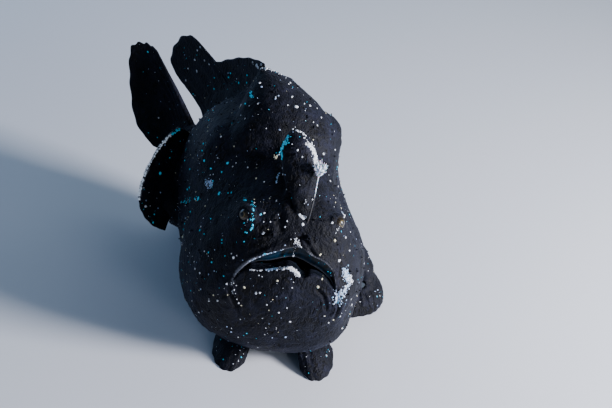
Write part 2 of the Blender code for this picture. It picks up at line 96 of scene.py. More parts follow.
def add_camera():
    """A camera that looks at the aim point from an azimuth, an elevation and a distance, then rolls."""
    data = bpy.data.cameras.new("camera")
    data.sensor_width = SENSOR_WIDTH
    data.lens = SENSOR_WIDTH / FIELD_WIDTH
    data.clip_start = 0.01
    camera = bpy.data.objects.new("camera", data)
    bpy.context.scene.collection.objects.link(camera)
    azimuth, elevation = math.radians(CAMERA_AZIMUTH), math.radians(CAMERA_ELEVATION)
    back = Vector((
        math.sin(azimuth) * math.cos(elevation),
        -math.cos(azimuth) * math.cos(elevation),
        math.sin(elevation),
    ))
    aim = Vector((np.array(CAMERA_AIM) + DATUM) * MM)
    camera.location = aim + back * CAMERA_DISTANCE * MM
    camera.rotation_mode = "QUATERNION"
    roll = Quaternion((0, 0, 1), math.radians(CAMERA_ROLL))
    camera.rotation_quaternion = (-back).to_track_quat("-Z", "Y") @ roll
    bpy.context.scene.camera = camera
    return camera


camera = add_camera()
print("camera at (mm):", [round(v / MM) for v in camera.location])

# %% [markdown]
# Curves, the bend and the trunk
#
# A fish is easiest to draw straight, as sections along its length, and to bend afterwards. Each
# section here is an egg shape between a top, a bottom and a half width, all smooth curves along the
# body. The bend lays the straight fish along a curved line that turns to its right.

# %% Curves and the bend
STATION = (0.00, 0.05, 0.10, 0.16, 0.23, 0.31, 0.41, 0.52, 0.62, 0.72, 0.82, 0.91, 1.00)
ALONG = (-100, -98, -94, -86, -74, -57, -35, -8, 19, 44, 66, 82, 97)
TOP = (58, 76, 91, 103, 113, 123, 132, 137, 133, 117, 94, 79, 72)
BOTTOM = (58, 38, 22, 12, 5, 0, -1.4, -1.4, 2, 10, 22, 31, 38)
HALF_WIDTH = (0, 22, 34, 43, 50, 54, 55, 52, 47, 39, 28, 16, 6)
WIDEST_LEVEL = (58, 54, 48, 43, 40, 40, 43, 50, 54, 56, 56, 56, 55)
KEEL = (1, 1, 1, 1, 1.1, 1.35, 1.35, 1.05, 0.88, 0.9, 0.95, 1, 1)
BELLY_FULLNESS = 0.82
TURN_AT = ((-160, -88, -50, -20, 20, 60, 97, 220), (0, 0, 12, 21, 30, 39, 44, 44))
BEND_START = -85
RELIEF = (
    ((26, -80, 103), 11, 4.0),
    ((33, -92, 58), 10, 2.6),
    ((46, -72, 48), 20, 2.5),
    ((0, -99, 64), 22, 3.0),
    ((0, -93, 99), 9, -1.2),
    ((0, -82, 108), 11, 2.0),
    ((52, -34, 32), 22, 3.0),
    ((34, -10, 120), 18, 6.0),
)
LEFT_RELIEF = (
    ((48, -76, 42), 22, -9.0),
    ((39, -38.5, 89.5), 19.5, -11.0),
    ((39, -61.5, 91), 12, -2.8),
    ((31, -20, 126), 15, 7.5),
)


def through(places, values, at):
    """Smooth curve through named places: a cubic between neighbours, with each place's mean slope."""
    xs = np.asarray(places, float)
    ys = np.asarray(values, float)
    slope = np.gradient(ys, xs)
    i = np.clip(np.searchsorted(xs, at, side="right") - 1, 0, len(xs) - 2)
    step = xs[i + 1] - xs[i]
    s = (at - xs[i]) / step
    rise = (2 * s**3 - 3 * s**2 + 1) * ys[i] + (3 * s**2 - 2 * s**3) * ys[i + 1]
    return rise + step * ((s**3 - 2 * s**2 + s) * slope[i] + (s**3 - s**2) * slope[i + 1])


def path_through(points, at):
    """The same smooth curve for each coordinate of a path, where 'at' runs from 0 to 1."""
    points = np.asarray(points, float)
    marks = np.linspace(0, 1, len(points))
    return np.stack([through(marks, points[:, k], at) for k in range(3)], -1)


def bend(points):
    """Lays the straight fish along its centre line: a point keeps its distance along and across."""
    line = np.linspace(-160, 220, 761)
    even = np.ones(41) / 41
    turn = np.radians(np.convolve(np.pad(np.interp(line, *TURN_AT), 20, "edge"), even, "valid"))
    centre = np.cumsum(np.stack([-np.sin(turn), np.cos(turn)], -1), axis=0) * (line[1] - line[0])
    start = np.searchsorted(line, BEND_START)
    centre += (0, line[start]) - centre[start]
    across, along, height = np.moveaxis(np.asarray(points, float), -1, 0)
    angle = np.interp(along, line, turn)
    x = np.interp(along, line, centre[:, 0]) + across * np.cos(angle)
    y = np.interp(along, line, centre[:, 1]) + across * np.sin(angle)
    return np.stack([x, y, height], -1)


def trunk_grid(rings, sides):
    """Egg-shaped sections along the body, pushed out along the surface normal by soft swellings."""
    t, v = np.meshgrid(
        np.linspace(0, 1, rings) ** 1.15, np.arange(sides) * 2 * np.pi / sides, indexing="ij"
    )
    top, bottom, width, widest, keel = (
        through(STATION, row, t) for row in (TOP, BOTTOM, HALF_WIDTH, WIDEST_LEVEL, KEEL)
    )
    c, s = np.cos(v), np.sin(v)
    x = width * np.sign(c) * np.abs(c) ** np.where(s > 0, keel, BELLY_FULLNESS)
    z = np.where(s > 0, (top - widest) * np.abs(s) ** 0.88, -(widest - bottom) * np.abs(s) ** 0.85)
    grid = np.stack([x, through(STATION, ALONG, t), widest + z], -1)
    across = np.roll(grid, -1, 1) - np.roll(grid, 1, 1)
    normal = np.cross(np.gradient(grid, axis=0), across)
    normal[0] = (0, -1, 0)
    normal[-1] = (0, 1, 0)
    normal /= np.linalg.norm(normal, axis=-1)[..., None]
    both = [(True, *swelling) for swelling in RELIEF]
    left = [(False, *swelling) for swelling in LEFT_RELIEF]
    for mirrored, centre, radius, height in both + left:
        across = np.abs(grid[..., :1]) if mirrored else grid[..., :1]
        away = np.concatenate([across, grid[..., 1:]], -1) - centre
        grid = grid + normal * height * np.exp(-(away**2).sum(-1) / radius**2)[..., None]
    return grid


trunk = bend(trunk_grid(240, 220))
print("trunk grid:", trunk.shape, "from", trunk.min((0, 1)).round(1), "to", trunk.max((0, 1)).round(1))

# %% [markdown]
# From grids to meshes
#
# Every piece is a grid of points, so a few small functions turn grids into closed meshes: a tube
# closed at its two ends, and a sheet with two faces and a rim. A closed mesh whose volume comes out
# negative is inside out, so its faces are turned round.

# %% Mesh helpers
NO_TRIS = np.zeros((0, 3), int)


def facing_out(points, quads, tris):
    """Flips all faces if the signed volume, a sum of tetrahedra from the origin, is negative."""
    corners = np.concatenate([quads[:, [0, 1, 2]], quads[:, [0, 2, 3]], tris])
    a, b, c = (points[corners[:, k]] for k in range(3))
    if np.einsum("ij,ij->", a, np.cross(b, c)) < 0:
        quads, tris = quads[:, ::-1], tris[:, ::-1]
    return points, quads, tris


def tube_shell(grid):
    """Rings become quads, and each end ring is drawn to its mean point with a fan of triangles."""
    rings, sides = grid.shape[:2]
    points = np.concatenate([grid[:1].mean(1), grid[1:-1].reshape(-1, 3), grid[-1:].mean(1)])
    index = 1 + np.arange((rings - 2) * sides).reshape(rings - 2, sides)
    ahead = np.roll(index, -1, 1)
    quads = np.stack([index[:-1], ahead[:-1], ahead[1:], index[1:]], -1).reshape(-1, 4)
    pole = np.full(sides, 0)
    tris = np.concatenate([
        np.stack([pole, ahead[0], index[0]], -1),
        np.stack([pole + len(points) - 1, index[-1], ahead[-1]], -1),
    ])
    return facing_out(points, quads, tris)


def sheet_shell(sheet, half):
    """A sheet moved both ways along its normal by half its thickness, joined by a strip at the rim."""
    normal = np.cross(np.gradient(sheet, axis=0), np.gradient(sheet, axis=1))
    normal /= np.linalg.norm(normal, axis=-1)[..., None]
    points = np.concatenate([(sheet + k * normal * half[..., None]).reshape(-1, 3) for k in (1, -1)])
    columns, rows = half.shape
    count = columns * rows
    index = np.arange(count).reshape(columns, rows)
    face = np.stack([index[:-1, :-1], index[1:, :-1], index[1:, 1:], index[:-1, 1:]], -1).reshape(-1, 4)
    rim = np.concatenate([index[:, 0], index[-1, 1:], index[-2::-1, -1], index[0, -2:0:-1]])
    ahead = np.roll(rim, -1)
    strip = np.stack([rim, rim + count, ahead + count, ahead], -1)
    return facing_out(points, np.concatenate([face, face[:, ::-1] + count, strip]), NO_TRIS)


def joined(shells):
    """Several shells as one set of points and faces, each one's numbering moved past the last."""
    start = np.cumsum([0] + [len(points) for points, _, _ in shells])
    return (
        np.concatenate([points for points, _, _ in shells]),
        np.concatenate([quads + n for (_, quads, _), n in zip(shells, start)]),
        np.concatenate([tris + n for (_, _, tris), n in zip(shells, start)]),
    )


def as_object(name, shell):
    """A mesh object from points in millimetres, at the origin, with its place in its mesh."""
    points, quads, tris = shell
    mesh = bpy.data.meshes.new(name)
    mesh.vertices.add(len(points))
    mesh.vertices.foreach_set("co", ((points + DATUM) * MM).astype(np.float32).ravel())
    corners = np.concatenate([quads.ravel(), tris.ravel()]).astype(np.int32)
    starts = np.concatenate([np.arange(len(quads)) * 4, 4 * len(quads) + np.arange(len(tris)) * 3])
    mesh.loops.add(len(corners))
    mesh.loops.foreach_set("vertex_index", corners)
    mesh.polygons.add(len(starts))
    mesh.polygons.foreach_set("loop_start", starts.astype(np.int32))
    mesh.update(calc_edges=True)
    mesh.shade_smooth()
    made = bpy.data.objects.new(name, mesh)
    bpy.context.scene.collection.objects.link(made)
    return made


def with_modifiers_applied(made):
    """The object's mesh as its modifiers leave it."""
    graph = bpy.context.evaluated_depsgraph_get()
    graph.update()
    result = bpy.data.meshes.new_from_object(made.evaluated_get(graph))
    made.modifiers.clear()
    made.data = result
    return made


def points_of(made):
    """The object's points in millimetres from the datum."""
    flat = np.empty(len(made.data.vertices) * 3, np.float32)
    made.data.vertices.foreach_get("co", flat)
    return flat.reshape(-1, 3).astype(float) / MM - DATUM


def set_points(made, points):
    made.data.vertices.foreach_set("co", ((points + DATUM) * MM).astype(np.float32).ravel())
    made.data.update()


def tube_along(path, wide, thick, side, rings, sides):
    """Ellipses along a smooth path, wide axis towards 'side', with half-round ends."""
    marks = np.linspace(0, 1, len(path))
    at = (1 - np.cos(np.linspace(0, np.pi, rings))) / 2
    centre = path_through(path, at)
    course = np.gradient(centre, axis=0)
    course /= np.linalg.norm(course, axis=1)[:, None]
    across = np.asarray(side, float) - course * (course @ np.asarray(side, float))[:, None]
    across /= np.linalg.norm(across, axis=1)[:, None]
    other = np.cross(course, across)
    turn = np.arange(sides) * 2 * np.pi / sides
    cap = np.sqrt(np.clip(1 - (2 * np.abs(at - 0.5)) ** 6, 0, 1))[:, None, None]
    wide = through(marks, wide, at)[:, None, None] * np.cos(turn)[None, :, None]
    thick = through(marks, thick, at)[:, None, None] * np.sin(turn)[None, :, None]
    return centre[:, None] + cap * (wide * across[:, None] + thick * other[:, None])


print("mesh helpers ready")

# %% [markdown]
# The face
#
# The mouth opens forwards and up. Its upper lip is an arch, and the lower lip follows it closely on
# the fish's right and hangs open on its left. The opening is cut as a hollow whose inside is painted
# dark as shade, and each lip is a soft roll laid along its edge on the surface of the face.

# %% Lips and mouth
LIP_X = (-29.6, -28, -25, -21, -16, -10, -3, 2, 6, 9, 14, 19, 23, 27, 30)
UPPER_LIP_Z = (65.4, 70.4, 75.9, 80.9, 84.8, 87.9, 91.1, 92.6, 93.0, 92.0, 89.0, 86.9, 83.8, 78, 67)
LOWER_LIP_Z = (65.2, 68.5, 73.3, 77.1, 78.3, 79.5, 82.0, 83.2, 81.0, 77.9, 79.2, 78.0, 75.2, 70.2, 66)
VALVE_EDGE_Z = (65.3, 69.8, 75.3, 79.6, 82.0, 83.2, 84.9, 85.3, 84.6, 83.8, 81.8, 79.0, 75.8, 71.8, 66.5)
LEAST_GAP = 0.5
UPPER_LIP_ROLL = 2.2
LOWER_LIP_ROLL = 2.4
MOUTH_DEPTH = 34

face_tree = BVHTree.FromPolygons(
    [Vector(p) for p in trunk[:110].reshape(-1, 3)],
    (np.arange(109 * 220)[:, None] + np.array((0, 1, 221, 220))).tolist()[:-1],
)


def on_face(x, z):
    """The point of the face straight behind a place in the front view."""
    return np.array(face_tree.ray_cast(Vector((x, -200, z)), Vector((0, 1, 0)))[0])


def lip_path(levels, lift, inward):
    """Points along a lip: its place in the front view, laid on the face and moved in a little."""
    x = np.linspace(LIP_X[0], LIP_X[-1], 31)
    z = through(LIP_X, levels, x) + lift * np.sin(np.linspace(0, np.pi, 31)) ** 0.5
    return np.array([on_face(*p) for p in zip(x, z)]) + (0, inward, 0)


def lip_roll(levels, lift, radius, inward):
    """A roll along a lip that is thin at the corners of the mouth."""
    path = lip_path(levels, lift, inward)
    size = radius * (0.55 + 0.45 * np.sin(np.linspace(0, np.pi, 31)) ** 0.7)
    return tube_shell(tube_along(path, size, size, (0, -1, 0.2), 90, 16))


def mouth_hollow():
    """A crescent between the lips: straight through them, then wider and lower behind them."""
    x = np.linspace(LIP_X[0], LIP_X[-1], 90)
    upper, lower = through(LIP_X, UPPER_LIP_Z, x), through(LIP_X, LOWER_LIP_Z, x)
    spare = np.maximum(LEAST_GAP - (upper - lower), 0) / 2
    outline = np.stack([
        np.concatenate([x, x[-2:0:-1]]),
        np.concatenate([upper + spare, (lower - spare)[-2:0:-1]]),
    ], -1)
    middle = np.stack([outline[:, 0], np.interp(outline[:, 0], x, (upper + lower) / 2)], -1)
    rings = []
    for back in np.linspace(0, 1, 22):
        deep = np.clip((back - 0.4) / 0.6, 0, 1)
        flat = middle + (outline - middle) * (1 + 1.3 * np.sin(np.pi * deep))
        flat = flat * (1 - 0.35 * deep**2, 1) - (0, 9 * deep**1.5)
        y = np.full(len(flat), -112 + back * (112 - 96 + MOUTH_DEPTH))
        rings.append(np.stack([flat[:, 0], y, flat[:, 1]], -1))
    return tube_shell(np.stack(rings))


upper_lip = lip_roll(UPPER_LIP_Z, 1.7, UPPER_LIP_ROLL, 0.9)
lower_lip = lip_roll(LOWER_LIP_Z, -1.9, LOWER_LIP_ROLL, 0.7)
hollow = mouth_hollow()
print("mouth opens", round(float(np.max(np.subtract(UPPER_LIP_Z, LOWER_LIP_Z))), 1), "mm")

# %% [markdown]
# Eyes and lids
#
# The eyes are small and set wide, and each has a low rim of skin. The eyeballs are pieces of their
# own, because they are the only wet, glossy part of the fish.

# %% Sockets and lids
EYE_RADIUS = 4.6
LID_RADIUS = 1.7
EYE_LOOK = (0.66, -0.66, 0.36)
eyes = {side: (middle_of("eye_" + side) - DATUM, np.array(EYE_LOOK) * (sign, 1, 1))
        for side, sign in (("left", 1), ("right", -1))}


def lid_shell(centre, look):
    """A ring of skin round the eye, lower than it is wide, thicker above."""
    look = look / np.linalg.norm(look)
    across = np.cross(look, (0, 0, 1))
    across /= np.linalg.norm(across)
    upward = np.cross(across, look)
    turn = np.linspace(0, 2 * np.pi, 40)[:, None]
    spoke = np.cos(turn) * across + 0.84 * np.sin(turn) * upward
    hoop = centre + 1.4 * look + (EYE_RADIUS + 0.4) * spoke
    small = np.arange(12) * 2 * np.pi / 12
    radius = LID_RADIUS * (1 + 0.25 * np.sin(turn))[..., None]
    ring = hoop[:, None] + radius * (
        np.cos(small)[None, :, None] * spoke[:, None] + np.sin(small)[None, :, None] * look
    )
    index = np.arange(40 * 12).reshape(40, 12)
    ahead = np.roll(index, -1, 1)
    quads = np.stack([index[:-1], ahead[:-1], ahead[1:], index[1:]], -1).reshape(-1, 4)
    quads = np.where(quads >= 39 * 12, quads - 39 * 12, quads)
    return facing_out(ring[:-1].reshape(-1, 3), quads, NO_TRIS)


lids = [lid_shell(*eye) for eye in eyes.values()]
print("eyes at (mm):", {side: eye[0].round(1).tolist() for side, eye in eyes.items()})

# %% [markdown]
# Fins
#
# Each fin is a sheet between a root curve and a margin curve. Its rays are ridges that fork towards
# the margin, and between them the margin is cut back a little. A thick fleshy base goes into the
# skin, so that the fin grows out of the body without a seam.

# %% Fin sheets
FINS = {
    "soft_dorsal_fin": dict(
        root=bend([(0, 8, 134), (0, 42, 115), (0, 76, 86)]),
        margin=bend([
            (0, 14, 155), (0, 30, 151), (0, 45, 145), (0, 60, 137), (0, 73, 130), (0, 84, 131),
            (0, 95, 138), (0, 108, 135), (0, 118, 123), (0, 120, 110), (0, 107, 101), (0, 88, 97)]),
        camber=(3, 0, 0), rays=13, root_half=2.6),
    "anal_fin": dict(
        root=bend([(0, 46, 14), (0, 62, 24), (0, 80, 35)]),
        margin=bend([(0, 56, 3), (0, 74, 2), (0, 91, 8), (0, 97, 24)]),
        camber=(-2, 0, 0), rays=8, root_half=2.2),
    "caudal_fin": dict(
        root=[(-70, 68, 70), (-75, 72, 57), (-75, 73, 43)],
        margin=[(-105, 103, 114), (-114, 107, 116), (-124, 109, 110), (-123, 103, 86),
                (-116, 93, 60), (-102, 84, 47)],
        camber=(5, 6, 0), rays=9, root_half=2.8),
    "pectoral_fin_left": dict(
        root=[(59, 5, 16), (59, -8, 14), (50, -18, 11)],
        margin=[(65, 17, 4), (70, 5, 0.2), (70, -9, 0), (63, -22, 0), (48, -31, 1)],
        camber=(2, -2, 3), rays=11, root_half=2.6),
    "pectoral_fin_right": dict(
        root=[(-72, 17, 63), (-79, 9, 60), (-81, 1, 53), (-77, -3, 46)],
        margin=[(-70, 30, 90), (-78, 22, 97), (-87, 9, 90), (-94, -3, 76), (-96, -12, 64),
                (-93, -16, 54), (-86, -16, 45), (-78, -12, 39)],
        camber=(-3, -2, 2), rays=11, root_half=2.6),
}
for side, sign in (("left", 1), ("right", -1)):
    FINS["pelvic_fin_" + side] = dict(
        root=np.array([(13, -72, 13), (18, -65, 11), (25, -57, 9)]) * (sign, 1, 1),
        margin=np.array([(17, -89, 2), (24, -95, 0), (32, -92, 0), (37, -80, 0), (37, -66, 2)])
        * (sign, 1, 1),
        camber=(0, 0, 3), rays=6, root_half=3.0)
FIN_SCALLOP = 0.02
FIN_EDGE_HALF = 0.4
RAY_HEIGHT = 0.55
RAY_STEPS = 14
FIN_ROWS = 70


def fin_surface(root, margin, camber, rays, root_half, reach=1.0, rows=FIN_ROWS):
    """Blend from root to margin, bowed by a sine; rays are raised cosines that fork past 0.6."""
    u, w = np.meshgrid(
        np.linspace(0, 1, rays * RAY_STEPS + 1), np.linspace(0, 1, rows) * reach, indexing="ij"
    )
    crest = 0.5 - 0.5 * np.cos(2 * np.pi * rays * u)
    forked = 0.5 - 0.5 * np.cos(4 * np.pi * rays * u)
    fork = np.clip((w - 0.55) / 0.3, 0, 1)
    ridge = crest**1.4 * (1 - 0.75 * fork * (1 - forked**0.8))
    foot, edge = path_through(root, u), path_through(margin, u)
    length = (w * (1 - FIN_SCALLOP * (1 - crest) * w**4))[..., None]
    bow = np.asarray(camber, float) * (np.sin(np.pi * w) * np.sin(np.pi * u))[..., None]
    sheet = foot + (edge - foot) * length + bow
    half = root_half + (FIN_EDGE_HALF - root_half) * w**0.75 + RAY_HEIGHT * ridge * (1 - 0.55 * w)
    half = half * np.clip((1 - w) / 0.03, 0.35, 1) if reach == 1 else half
    return sheet, half, u, w


def fin_base(root, margin, camber, rays, root_half):
    """The fleshy foot of a fin: the same sheet over its first third, much thicker at the root."""
    sheet, _, u, w = fin_surface(root, margin, camber, rays, root_half, reach=0.42, rows=12)
    edge = np.sin(np.pi * np.clip(u, 0.02, 0.98)) ** 0.3
    half = (1.2 + 4.2 * (1 - w / 0.42) ** 1.6) * edge
    return sheet_shell(sheet[::4], half[::4])


fin_bases = [fin_base(**shape) for shape in FINS.values()]
print(len(FINS), "fins,", sum(shape["rays"] for shape in FINS.values()), "rays")

# %% [markdown]
# Spines and arms
#
# Behind the lure stand two more free spines: a club that leans on the snout, and a broad hump. The
# arms are stout and end in a wrist.

# %% Spines and arms
SECOND_SPINE = (
    [(4, -77, 103), (3.5, -74, 116), (2.5, -68, 128), (-0.5, -61, 140), (-3, -55, 147)],
    (5, 7.5, 10, 8.6, 2), (5, 5.6, 6.4, 5.6, 2),
)
THIRD_SPINE = (
    [(0, -32, 92), (2, -19, 118), (-1, -4, 139.5), (-4, 8, 155.5)], (22, 34.5, 20, 4.5), (18, 25, 17.5, 4),
)
ARM_SIZE = ((12, 11.5, 9.5, 7), (13, 11, 8, 5))
LEFT_ARM = [(24, 6, 36), (42, 2, 30), (53, -3, 22), (57, -8, 14)]
RIGHT_ARM = [(-56, 0, 44), (-70, 4, 47), (-77, 6, 53), (-80, 8, 60)]

limbs = [
    tube_shell(bend(tube_along(*SECOND_SPINE, (1, 0, 0), 60, 40))),
    tube_shell(bend(tube_along(*THIRD_SPINE, (1, 0, 0), 60, 60))),
    tube_shell(tube_along(LEFT_ARM, *ARM_SIZE, (0, 1, 0), 40, 32)),
    tube_shell(tube_along(RIGHT_ARM, *ARM_SIZE, (0, 1, 0), 40, 32)),
]
print(len(limbs), "limbs")

# %% [markdown]
# One skin
#
# On the fish nothing is joined, so all these bodies become one surface. They are laid over each other
# and a voxel remesh takes the outside of them all. A remesh leaves small steps, so the points are
# then drawn towards their neighbours, and back out again so that the body keeps its volume.

# %% Join and remesh
VOXEL = 1.5


def cut(made, cutters):
    """Boolean difference with each cutter in turn."""
    for shell in cutters:
        cutter = as_object("cutter", shell)
        step = made.modifiers.new("Cut", "BOOLEAN")
        step.operation = "DIFFERENCE"
        step.solver = "MANIFOLD"
        step.object = cutter
        with_modifiers_applied(made)
        bpy.data.objects.remove(cutter)
    return made


def remeshed(name, shells, voxel):
    """The outer surface of overlapping shells, as near-square faces about one voxel wide."""
    made = as_object(name, joined(shells))
    step = made.modifiers.new("Remesh", "REMESH")
    step.mode = "VOXEL"
    step.voxel_size = voxel * MM
    step.use_smooth_shade = True
    return with_modifiers_applied(made)


whole = remeshed(
    "whole", [tube_shell(trunk), upper_lip, lower_lip, *lids, *limbs, *fin_bases], VOXEL
)
print("skin before refining:", len(whole.data.polygons), "faces")

# %% [markdown]
# Finer where it matters
#
# The face and above all the lips need smaller faces than the back. So the faces there are split once,
# and those round the mouth and the eyes once more, which keeps the whole skin light.

# %% Smooth and refine
FACE_BACK, FACE_FOOT, FACE_HALF_WIDTH = -70, 44, 38
MOUTH_BACK, MOUTH_FOOT, MOUTH_TOP, MOUTH_HALF_WIDTH = -86, 60, 97, 33
EYE_REACH = 9


def edge_pairs(made):
    """The two point numbers of every edge."""
    pairs = np.empty(len(made.data.edges) * 2, np.int32)
    made.data.edges.foreach_get("vertices", pairs)
    return pairs.reshape(-1, 2)


def relaxed(points, pairs, rounds, share=1.0, outwards=-0.52):
    """Each point moves half way to the mean of its neighbours, then a little further back out."""
    both = np.concatenate([pairs, pairs[:, ::-1]])
    count = np.maximum(np.bincount(both[:, 0], minlength=len(points)), 1)[:, None]
    for _ in range(rounds):
        for step in (0.5, outwards):
            sums = [np.bincount(both[:, 0], points[both[:, 1], k], len(points)) for k in range(3)]
            points = points + share * step * (np.stack(sums, -1) / count - points)
    return points


def refined(made, region):
    """Every edge inside the region is split in two, and the larger faces beside it are triangulated."""
    shell = bmesh.new()
    shell.from_mesh(made.data)
    edges = [e for e in shell.edges if region[e.verts[0].index] and region[e.verts[1].index]]
    bmesh.ops.subdivide_edges(shell, edges=edges, cuts=1, use_grid_fill=True)
    bmesh.ops.triangulate(shell, faces=[f for f in shell.faces if len(f.verts) > 4])
    shell.to_mesh(made.data)
    shell.free()
    made.data.update()
    return made


set_points(whole, relaxed(points_of(whole), edge_pairs(whole), 12))
at = points_of(whole)
refined(whole, (at[:, 1] < FACE_BACK) & (at[:, 2] > FACE_FOOT) & (np.abs(at[:, 0]) < FACE_HALF_WIDTH))
at = points_of(whole)
close = (at[:, 1] < MOUTH_BACK) & (np.abs(at[:, 0]) < MOUTH_HALF_WIDTH)
close &= (at[:, 2] > MOUTH_FOOT) & (at[:, 2] < MOUTH_TOP)
for centre, _ in eyes.values():
    close |= np.linalg.norm(at - centre, axis=1) < EYE_REACH
refined(whole, close)
set_points(whole, relaxed(points_of(whole), edge_pairs(whole), 6))
print("skin after refining:", len(whole.data.polygons), "faces")

# %% [markdown]
# Folds, wrinkles and warts
#
# Loose skin folds where it is bent and wrinkles where it is slack. A fold is a groove along a named
# line on the skin. Wrinkles come from smooth random values, squeezed so that they run down the face.
# Warts are low round bumps at seeded places. Each moves the points along the skin's own normal.

# %% Folds
FOLDS = (
    ("right corner of the mouth", [(-27.5, -98, 73), (-30.5, -98, 66), (-29.6, -98, 61), (-27, -99, 56),
                                   (-24, -99, 49), (-22, -99, 42)], 1.7, 1.1),
    ("left corner of the mouth", [(27, -97, 75), (31, -96, 68), (32, -96, 61), (32.3, -95.5, 54),
                                  (30, -94, 43)], 1.7, 1.1),
    ("left jowl", [(18, -99, 71), (20, -99, 69), (23.2, -98.4, 65.4), (25, -98.5, 60), (26, -98, 55)],
     1.3, 0.9),
    ("fold over the left lip", [(4, -88, 99), (6, -89.6, 98), (8.2, -90.3, 96.7), (10.3, -91.8, 94),
                                (12.9, -93.7, 91.7), (15.4, -95.3, 89.8), (21, -95.5, 87.5),
                                (27, -95.5, 81), (31, -95.5, 73)], 1.5, 0.95),
    ("fold over the right lip", [(-5, -91, 98), (-12, -94, 93), (-21, -95, 86.5), (-27, -96, 78.5),
                                 (-31, -96, 69)], 0.8, 1.2),
    ("groove right of the lure", [(-4.6, -74, 124), (-3.6, -77, 116), (-1.7, -79, 111), (1.8, -84.4, 106.6)],
     1.8, 1.5),
    ("groove down the snout", [(-7, -82, 109), (-6.5, -86, 103), (-5, -90, 98)], 0.8, 1.6),
    ("chin fold", [(-18, -104, 55), (-6, -106, 51), (8, -106, 50), (20, -104, 54)], 0.5, 2.2),
    ("throat fold", [(-30, -98, 33), (-12, -102, 26), (10, -102, 25), (31, -97, 32)], 0.8, 2.6),
    ("left cheek", [(39, -84, 88), (43, -86, 70), (42, -87, 52), (38, -88, 36)], 0.8, 2.4),
    ("right cheek", [(-39, -84, 88), (-43, -86, 70), (-44, -85, 52), (-40, -86, 36)], 0.8, 2.4),
)


def normals_of(made):
    flat = np.empty(len(made.data.vertices) * 3, np.float32)
    made.data.vertex_normals.foreach_get("vector", flat)
    return flat.reshape(-1, 3).astype(float)


def distance_to(points, path, reach=14):
    """Distance to a smooth line, and how far along it the nearest place is, from 0 to 1."""
    line = path_through(path, np.linspace(0, 1, 60))
    low, high = line.min(0) - reach, line.max(0) + reach
    inside = np.flatnonzero(((points > low) & (points < high)).all(1))
    away = np.full(len(points), 99.0)
    share = np.zeros(len(points))
    gaps = np.linalg.norm(points[inside, None] - line, axis=-1)
    away[inside] = gaps.min(1)
    share[inside] = gaps.argmin(1) / (len(line) - 1)
    return away, share


def carve(made, folds):
    """Moves points inwards by depth * exp(-(distance / width)^2), with a low swelling on each side."""
    points, normal = points_of(made), normals_of(made)
    depth_sum = np.zeros(len(points))
    for _, path, depth, width in folds:
        away, share = distance_to(points, path)
        fade = np.clip(4 * share, 0, 1) * np.clip(4 * (1 - share), 0, 1)
        depth_sum += depth * fade * (
            np.exp(-(away / width) ** 2) - 0.28 * np.exp(-((away - 2.2 * width) / width) ** 2)
        )
    set_points(made, points - normal * depth_sum[:, None])


carve(whole, FOLDS)
print(len(FOLDS), "folds")

# %% Wrinkles and warts
WART_COUNT = 420
SEED = 7


def smooth_random(points, size, seed):
    """Random numbers on a cubic lattice, blended between the eight nearest corners; -1 to 1."""
    scaled = points / size
    cell = np.floor(scaled).astype(np.int64)
    part = scaled - cell
    part = part * part * (3 - 2 * part)
    total = np.zeros(len(points))
    for corner in itertools.product((0, 1), repeat=3):
        n = cell + corner
        mixed = (n[:, 0] * 73856093) ^ (n[:, 1] * 19349663) ^ (n[:, 2] * 83492791) ^ (seed * 7919)
        mixed = (mixed ^ (mixed >> 13)) * 1274126177 & 0x7FFFFFFF
        value = (mixed >> 8 & 0xFFFF) / 32767.5 - 1
        total += value * np.prod(np.where(corner, part, 1 - part), axis=1)
    return total


def face_values(made):
    """Area, centre in millimetres from the datum, and normal of every face."""
    values = []
    for name, width in (("area", 1), ("center", 3), ("normal", 3)):
        flat = np.empty(len(made.data.polygons) * width, np.float32)
        made.data.polygons.foreach_get(name, flat)
        values.append(flat.reshape(-1, width).astype(float))
    area, centre, normal = values
    return area[:, 0], centre / MM - DATUM, normal


def roughen(made):
    """Broad slack folds, finer wrinkles that run downwards, and round warts, added up as heights."""
    points, normal = points_of(made), normals_of(made)
    height = 0.55 * smooth_random(points, 16, 1) + 0.35 * smooth_random(points, 7.5, 2)
    warp = 2.2 * smooth_random(points, 9, 3)[:, None]
    down = (points + warp) * (1, 1, 0.45)
    crease = 1 - np.abs(smooth_random(down, 3.1, 4))
    height += 0.22 * (crease**3 - 0.3)
    height += 0.18 * smooth_random(points, 1.9, 5) + 0.20 * smooth_random(points, 3.8, 6)
    rng = np.random.default_rng(SEED)
    area, centre, _ = face_values(made)
    places = centre[rng.choice(len(area), WART_COUNT, p=area / area.sum())]
    sizes = rng.uniform(0.9, 2.4, WART_COUNT)
    tree = KDTree(len(points))
    for number, point in enumerate(points):
        tree.insert(point, number)
    tree.balance()
    for place, size in zip(places, sizes):
        found = tree.find_range(place, 2.2 * size)
        numbers = np.array([hit[1] for hit in found], int)
        away = np.array([hit[2] for hit in found])
        height[numbers] += 0.32 * size * np.exp(-(away / size) ** 2)
    lips = np.exp(-((points[:, 2] - 78) / 16) ** 2) * (points[:, 1] < -88) * (np.abs(points[:, 0]) < 30)
    points = points + normal * (height * (1 - 0.55 * lips))[:, None]
    points[:, 2] = np.maximum(points[:, 2], 0.05)
    set_points(made, points)


roughen(whole)
print("wrinkles and", WART_COUNT, "warts")

# %% [markdown]
# The mouth
#
# The opening is cut last, so that its edge stays crisp, and the edge is then eased so that the lips
# are round. Behind the upper lip hangs a smooth valve of skin, with a thin pale rim.

# %% Open the mouth
LIP_EASE = 1.3
VALVE_BACK = 2.2


